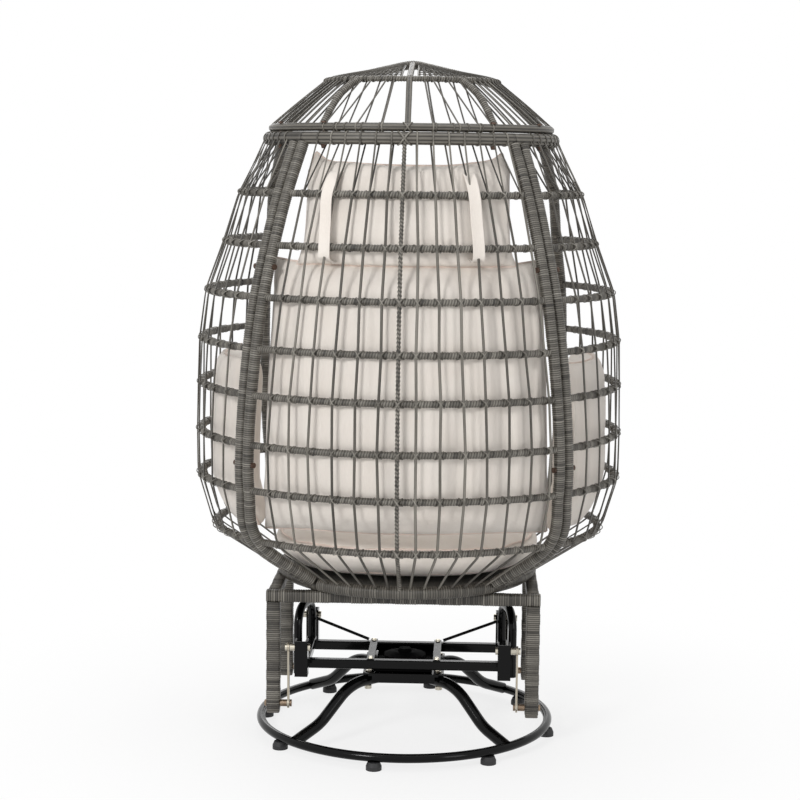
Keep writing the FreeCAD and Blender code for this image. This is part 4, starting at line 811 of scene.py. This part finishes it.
POST_X, POST_HALF, PIVOT_Y, POST_LOW = 277.0, 15.0, 150.0, 76.0
BAR_LOW, BAR_HALF = 312.8, 12.5
BAR_MID = BAR_LOW + BAR_HALF
POST_SHAPE, BAR_SHAPE = squared(POST_HALF - 0.4, 6.0), squared(BAR_HALF, 5.0)


def bar_wrap(name, a, b, count, lift, seed):
    batch = Batch()
    wrapped(batch, np.linspace(a, b, count), lift, BAR_SHAPE, pitch=5.2, depth=0.9, bands=9, seed=seed, tone=0.40)
    batch.build("bar_wrap_" + name, wicker, ("glider_bar_" + name,))


batch = Batch()
for sx in (-1, 1):
    for sy in (-1, 1):
        x, y, seed = POST_X * sx, PIVOT_Y * sy, sx + 3 * sy
        wrapped(batch, np.linspace((x, y, POST_LOW), (x, y, BAR_LOW + 0.5), 60), (1, 0, 0), POST_SHAPE,
                pitch=4.4, depth=0.8, bands=5, seed=70 + seed, tone=0.45)
        wrapped(batch, np.linspace((x - POST_HALF, y, BAR_MID), (x + POST_HALF, y, BAR_MID), 12), (0, 1, 0), BAR_SHAPE,
                pitch=5.0, depth=0.8, seed=80 + seed)
batch.build("post_wrap", wicker, ("glider_posts",))
inner_x, inner_y = POST_X - POST_HALF, PIVOT_Y - 12
for sy, name in ((-1, "front"), (1, "rear")):
    bar_wrap(name, (-inner_x, PIVOT_Y * sy, BAR_MID), (inner_x, PIVOT_Y * sy, BAR_MID), 80, (0, 1, 0), 90 + sy)
for sx, name in ((-1, "right"), (1, "left")):
    bar_wrap(name, (POST_X * sx, -inner_y, BAR_MID), (POST_X * sx, inner_y, BAR_MID), 60, (1, 0, 0), 95 + sx)


def weave_material():
    g = Graph("wicker_deck", roughness=0.55)
    brick = g.add("ShaderNodeTexBrick", {
        "Vector": g.place(), "Scale": 1.0, "Brick Width": 0.022, "Row Height": 0.0055,
        "Mortar Size": 0.0007, "Mortar Smooth": 0.8, "Color1": (0.14, 0.132, 0.116, 1),
        "Color2": (0.085, 0.080, 0.070, 1), "Mortar": (0.02, 0.019, 0.016, 1),
    })
    gaps = g.math("SUBTRACT", 1.0, brick.outputs["Fac"])
    return g.dress(brick.outputs["Color"], g.bump(gaps, 0.0015))


# Materials of the CAD nodes that stay
plain = (
    (black_steel, "floor_ring base_legs swivel_lower_plate cross_tube_front cross_tube_rear carriage_straps"),
    (black_steel, "side_rail_left side_rail_right pivot_brackets carriage_hoop_left carriage_hoop_right"),
    (black_steel, "brace_rods deck_bars"), (dull_steel, "swivel_pin swivel_upper_plate bearing_housing"),
    (zinc, "hub_bolts strap_bolts upper_pivot_bolts"), (old_zinc, "lower_pivot_bolts"),
    (bronze, "panel_bolts cap_bolts"), (link_steel, "rear_links front_links"), (rubber, "floor_ring_feet"),
    (nylon, "thrust_washer rear_link_bushes front_link_bushes"), (end_plastic, "post_end_caps"),
    (weave_material(), "seat_deck"),
)
for material, names in plain:
    for name in names.split():
        mesh = nodes[name].data
        mesh.materials.clear()
        mesh.materials.append(material)


# Cushions
def apply_all(piece):
    graph = bpy.context.evaluated_depsgraph_get()
    mesh = bpy.data.meshes.new_from_object(piece.evaluated_get(graph))
    old = piece.data
    piece.modifiers.clear()
    piece.data = mesh
    bpy.data.meshes.remove(old)


def coords(mesh):
    co = np.zeros(len(mesh.vertices) * 3)
    mesh.vertices.foreach_get("co", co)
    return co.reshape(-1, 3)


def set_coords(mesh, co):
    mesh.vertices.foreach_set("co", co.astype(np.float32).ravel())
    mesh.update()


def inflate(piece, pressure, cap, frames=14):
    """Fill the cushion: its cloth swells under pressure, up to a cap."""
    small = coords(piece.data)
    cloth = piece.modifiers.new("cloth", "CLOTH")
    stiffness = {"tension_stiffness": 10, "compression_stiffness": 10, "shear_stiffness": 3, "bending_stiffness": 0.15}
    load = {"quality": 4, "mass": 0.25, "use_pressure": True, "uniform_pressure_force": pressure}
    for key, value in {**stiffness, **load}.items():
        setattr(cloth.settings, key, value)
    cloth.settings.effector_weights.gravity = 0.0
    cloth.collision_settings.use_collision = False
    cloth.point_cache.frame_start = 1
    cloth.point_cache.frame_end = frames
    for number in range(1, frames + 1):
        scene.frame_set(number)
    graph = bpy.context.evaluated_depsgraph_get()
    moved = coords(piece.evaluated_get(graph).data)
    piece.modifiers.clear()
    scene.frame_set(1)
    if not np.isfinite(moved).all():
        return
    push = moved - small
    far = np.linalg.norm(push, axis=1, keepdims=True)
    set_coords(piece.data, small + push * np.minimum(1.0, cap / np.maximum(far, 1e-9)))


def hold_in(co, arc_of, gap):
    """Keep a cushion inside the cage's rings."""
    out = co / MM
    for k, p in enumerate(out):
        arc = arc_of(blend(float(clamp(p[2], SEAT_Z + 4, 1289))), p)
        ray = p[:2] - arc.centre[:2]
        reach = math.hypot(*ray)
        if reach > arc.radius - gap:
            out[k, :2] = arc.centre[:2] + ray * (arc.radius - gap) / reach
    return out * MM


def fold_field(seed, count, lean, sharp=1.6):
    """Soft creases that run up a cushion; each has its own place, lean, length and depth."""
    local = random.Random(seed)
    limits = ((0.02, 0.98), (-lean, lean), (0.0, 1.0), (0.18, 0.6), (0.010, 0.028), (0.5, 1.0))
    creases = [[local.uniform(*pair) for pair in limits] for _ in range(count)]

    def field(u, v):
        total = 0.0
        for place, slope, middle, reach, width, deep in creases:
            off = (u - place - slope * (v - middle)) / width
            along = (v - middle) / reach
            total += deep * math.exp(-abs(off) ** sharp) * math.exp(-along * along)
        return min(total, 1.4)

    return field


def cushion_grid(nu, nv):
    """Nodes of a closed two-sided sheet: the shared rim first, then the inside of each face."""
    rim = [(i, 0) for i in range(nu)] + [(nu, j) for j in range(nv)]
    rim += [(i, nv) for i in range(nu, 0, -1)] + [(0, j) for j in range(nv, 0, -1)]
    spots = [(spot, 0) for spot in rim]
    index = {}
    for k, spot in enumerate(rim):
        index[(spot, 0)] = index[(spot, 1)] = k
    for face in (0, 1):
        for i in range(1, nu):
            for j in range(1, nv):
                index[((i, j), face)] = len(spots)
                spots.append(((i, j), face))
    quads = []
    for face in (0, 1):
        for i in range(nu):
            for j in range(nv):
                ring = [index[(spot, face)] for spot in ((i, j), (i + 1, j), (i + 1, j + 1), (i, j + 1))]
                quads.append(ring if face == 0 else ring[::-1])
    return spots, quads, len(rim)


def add_mesh(name, points, faces):
    mesh = bpy.data.meshes.new(name)
    mesh.from_pydata((np.array(points) * MM).tolist(), [], faces)
    return place_object(name, mesh)


def pad(name, low, high, pick, shares, off, thick, field, deep, counts, ears=0.035, spread=0.0, horns=0.0, flare=0.0,
        nip=0.0):
    """A filled pad that leans on the cage: full in the middle, with pointed corners and drawn-in sides.

    ears draws in the sides, spread widens the top, flare the foot, nip narrows the crest and horns lifts its corners.
    """
    edge, shrink = 6, 5.0
    nu, nv = counts
    first, last = shares
    spots, quads, rim_count = cushion_grid(nu, nv)
    points = []
    for (i, j), face in spots:
        a, b = (math.sin((2.0 * k / n - 1) * math.pi / 2) for k, n in ((i, nu), (j, nv)))
        full = (max(1 - abs(a) ** 5, 0) * max(1 - abs(b) ** 6, 0)) ** 0.42
        u = 0.5 + 0.5 * a * (1 - ears * (1 - abs(b) ** 3))
        v = 0.5 + 0.5 * b * (1 - ears * 0.25 * (1 - abs(a) ** 3))
        height = low + (high - low) * v
        arc = pick(height)
        width = (1 + spread * v + flare * max(-b, 0) ** 4) * (1 - nip * max(b * 4 - 3, 0))
        share = 0.5 + (first + (last - first) * u - 0.5) * width
        body = edge + (thick - edge - shrink) * full
        middle = off + thick * 0.5 - thick * 0.12 * (1 - full)
        height += horns * max(b, 0) ** 6 * abs(a) ** 6
        crease = field(u, v) * deep * min(full * 1.5, 1.0)
        if face == 0:
            reach = middle - body * 0.5 + crease + shrink * 0.3
            for level in rings:
                reach += 2.2 * math.exp(-((height - level.height) / 13.0) ** 2) * full
        else:
            reach = middle + body * 0.5 - crease * 0.6
        spot = arc.at(share, -reach)
        points.append((spot[0], spot[1], height))
    return add_mesh(name, points, quads), rim_count


def finish_cushion(piece, node):
    more = piece.modifiers.new("fine", "SUBSURF")
    more.levels = more.render_levels = 1
    apply_all(piece)
    piece.data.materials.append(cream)
    piece.data.polygons.foreach_set("use_smooth", [True] * len(piece.data.polygons))
    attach(piece, "chair")
    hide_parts(node)


def welt_cord(cord, path, lift, radius=2.4, sides=8):
    """Piping along a closed line."""
    ways = unit(np.roll(path, -1, 0) - np.roll(path, 1, 0))
    u = unit(lift - ways * (lift * ways).sum(1, keepdims=True))
    v = np.cross(ways, u)
    angles = turn_angles(sides)
    ring = (np.cos(angles) * radius)[None, :, None], (np.sin(angles) * radius)[None, :, None]
    points = path[:, None] + u[:, None] * ring[0] + v[:, None] * ring[1]
    cord.grid(points, angles * radius, np.arange(len(path)) * 5.0, 0.5, closed_run=True)


def close_cushion(piece, rim_count, node, arc_of, gap=RING_R + 0.9):
    co = hold_in(coords(piece.data), arc_of, gap)
    set_coords(piece.data, co)
    rim = co[:rim_count] / MM
    finish_cushion(piece, node)
    cord = Batch()
    path = smooth_line(rim, 5.0, closed=True)[:-1]
    lift = path - rim.mean(0)
    welt_cord(cord, path + unit(lift) * 2.4 * 0.4, lift)
    # The piping cord is real geometry; its pink cloth is painted pinkish shade.
    cord.build(piece.name + "_welt", pink_shade, slot="cushion")


def back_pick(height):
    return blend(height).back


piece, rim = pad("back_pad", 475.0, 1047.0, back_pick, (-0.01, 1.03), RING_R + 1.0, 118.0,
                 fold_field(4, 60, 0.10), 9.0, (84, 84), spread=0.10, flare=0.05)
inflate(piece, 3.0, 0.009)
close_cushion(piece, rim, "back_cushion", lambda level, p: level.back)
piece, rim = pad("head_pad", 1030.0, 1247.0, back_pick, (0.065, 0.94), RING_R + 3.0, 96.0,
                 fold_field(9, 34, 0.16), 8.0, (76, 44), ears=0.06, spread=0.24, horns=18.0, nip=0.09)
inflate(piece, 3.0, 0.008)
close_cushion(piece, rim, "head_pillow", lambda level, p: level.back, RING_R + 2.2)
for sign, name in SIDES:
    piece, rim = pad("arm_pad_" + name, 466.0, 836.0, lambda height: blend(height).side[sign], (0.13, 0.72),
                     RING_R + 1.0, 116.0, fold_field(20 + sign, 16, 0.14), 4.0, (48, 56))
    if sign < 0:
        piece.data.flip_normals()
    inflate(piece, 3.0, 0.008)
    close_cushion(piece, rim, "arm_cushion_" + name, lambda level, p: level.side[1 if p[0] > 0 else -1])


def superpoint(angle, power):
    c, s_ = math.cos(angle), math.sin(angle)
    return math.copysign(abs(c) ** (2 / power), c), math.copysign(abs(s_) ** (2 / power), s_)


def seat_pad():
    """The seat cushion: a broad, low crown with a boxed edge that follows the cage."""
    low, tall = 360.5, 112.0
    half, rear, front, middle = 300.0, 226.0, -318.0, -60.0
    around, up = 112, 30
    folds = fold_field(31, 22, 0.3)
    rows = []
    for j in range(up + 1):
        turn = -math.pi / 2 + math.pi * j / up
        c, s_ = superpoint(turn, 2.8)
        rows.append((c, 0.5 + 0.5 * s_))
    verts = [(0, middle, low + 3)]
    for c, rise in rows[1:-1]:
        tuck = 66.0 * max(0.0, 0.5 - rise) ** 1.2
        for i in range(around):
            x, y = superpoint(2 * math.pi * i / around, 2.6)
            reach = c * 0.985
            out = (rear - middle) if y > 0 else (middle - front)
            wide = x * (half - tuck) * reach
            long = middle + y * (out - tuck) * reach
            crown = 1 - 0.10 * (c ** 2)
            z = low + 4 + (tall - 8) * (rise if rise < 0.5 else 0.5 + (rise - 0.5) * crown)
            if rise > 0.5:
                z -= 5.0 * folds((wide + half) / (2 * half), (long - front) / (rear - front))
            verts.append((wide, long, z))
    verts.append((0, middle, low + tall - 4))
    faces = [(0, 1 + (i + 1) % around, 1 + i) for i in range(around)]
    for j in range(up - 2):
        base = 1 + j * around
        for i in range(around):
            k = (i + 1) % around
            faces.append((base + i, base + k, base + around + k, base + around + i))
    last = 1 + (up - 2) * around
    faces += [(last + i, last + (i + 1) % around, len(verts) - 1) for i in range(around)]
    welts = []
    for row in (up * 0.36, up * 0.66):
        start = 1 + (int(row) - 1) * around
        welts.append(np.array(verts[start:start + around]))
    return add_mesh("seat_pad", verts, faces), welts


piece, welts = seat_pad()
inflate(piece, 2.0, 0.005)
finish_cushion(piece, "seat_cushion")
cord = Batch()
for welt in welts:
    lift = welt - welt.mean(0)
    welt_cord(cord, welt + unit(lift) * 0.8, lift)
# The piping cords are real geometry; their pink cloth is painted pinkish shade.
cord.build("seat_pad_welt", pink_shade, slot="cushion")

# Pillow straps: a flat band with rolled edges, given by its share of the back panel at the top and at the foot
STRAP_SHARES = ((0.198, 0.224), (0.758, 0.752))
STRAP_OUT = REACH + 4.4
profile = np.array([(0.9, -12.6), (1.3, -11.4), (1.0, -10.2), (0.8, 0), (1.0, 10.2), (1.3, 11.4), (0.9, 12.6),
                    (-0.9, 12.6), (-0.9, -12.6)])
batch = Batch()
for head, foot in STRAP_SHARES:
    stops = ((1224.0, head, -30), (1222.0, head, -2.0), (levels[1].height, head, STRAP_OUT),
             (1128.0, (head + foot) / 2, STRAP_OUT + 0.5), (levels[2].height, foot, STRAP_OUT),
             (1050.0, foot, 4.0), (1046.0, foot, -34))
    line = smooth_line([blend(z).back.at(share, out) for z, share, out in stops], 4.0)
    sweep(batch, line, levels[1].back.out(head), np.linspace(0, run_length(line), 60),
          (profile[None, :, 0], profile[None, :, 1]), profile[:, 1], 0.5)
batch.build("strap_bands", cream, ("pillow_straps",), slot="cushion")

# Floor, light and camera
floor_mesh = bpy.data.meshes.new("floor")
floor_mesh.from_pydata([(-30, -30, 0), (30, -30, 0), (30, 30, 0), (-30, 30, 0)], [], [(0, 1, 2, 3)])
floor = place_object("floor", floor_mesh)
g = Graph("studio_floor", (0.86, 0.86, 0.86), 0.9)
paths = g.add("ShaderNodeLightPath").outputs
mirrored = g.math("MAXIMUM", paths["Is Glossy Ray"], paths["Is Transmission Ray"])
seen = g.math("MAXIMUM", paths["Is Camera Ray"], mirrored)
glow = g.add("ShaderNodeEmission", {"Strength": 1.0})
reach = g.add("ShaderNodeVectorMath", {0: g.place()}, operation="LENGTH").outputs["Value"]
fade = g.ranged(reach, 0.78, 1.0, {"From Min": 0.35, "From Max": 1.3}, interpolation_type="SMOOTHSTEP")
mix = g.add("ShaderNodeMixShader", {0: g.math("MULTIPLY", seen, fade), 1: g.bsdf.outputs[0], 2: glow.outputs[0]})
g.put(g.out.inputs[0], mix.outputs[0])
floor_mesh.materials.append(g.mat)

world = bpy.data.worlds.new("studio")
scene.world = world
world.use_nodes = True
sky = Tree(world.node_tree)
paths = sky.add("ShaderNodeLightPath").outputs
seen = sky.math("MAXIMUM", paths["Is Camera Ray"], paths["Is Glossy Ray"])
back = sky.add("ShaderNodeBackground", {"Color": (1, 1, 1, 1), "Strength": sky.ranged(seen, 0.5, 1.0)})
sky.add("ShaderNodeOutputWorld", {0: back.outputs[0]})


def area_light(name, place, target, size, power):
    data = bpy.data.lights.new(name, "AREA")
    data.shape = "RECTANGLE"
    data.size, data.size_y = size
    data.energy = power
    lamp = place_object(name, data)
    lamp.location = place
    lamp.rotation_mode = "QUATERNION"
    lamp.rotation_quaternion = (Vector(target) - Vector(place)).to_track_quat("-Z", "Y")


area_light("key", (1.9, 3.3, 2.4), (0, 0, 0.7), (0.8, 0.8), 68)
area_light("fill", (-2.4, 2.9, 1.3), (0, 0, 0.7), (1.0, 1.8), 20)
area_light("overhead", (0, -0.2, 3.4), (0, 0, 0.6), (2.0, 2.0), 32)
area_light("front", (0.4, -3.4, 2.2), (0, 0, 0.8), (2.2, 1.8), 30)

# The camera fitted to the photo: its place, its angles in degrees and its focal length in pixels
C = (-0.1280059, 4.0664043, 1.2387214)
FOCAL, PHOTO_WIDTH = 1878.1, 800
yaw, pitch, roll = (math.radians(a) for a in (-2.036, 7.112, -0.591))
forward = np.array((-math.sin(yaw) * math.cos(pitch), -math.cos(yaw) * math.cos(pitch), -math.sin(pitch)))
right = np.array((-math.cos(yaw), math.sin(yaw), 0.0))
down = -unit(UP - forward * forward[2])
right, down = math.cos(roll) * right + math.sin(roll) * down, -math.sin(roll) * right + math.cos(roll) * down
data = bpy.data.cameras.new("camera")
data.sensor_width = 36.0
data.lens = data.sensor_width * FOCAL / PHOTO_WIDTH
camera = place_object("camera", data)
camera.matrix_world = Matrix([*np.column_stack([right, -down, -forward, C]).tolist(), (0, 0, 0, 1)])
scene.camera = camera
scene.view_settings.view_transform = "Standard"
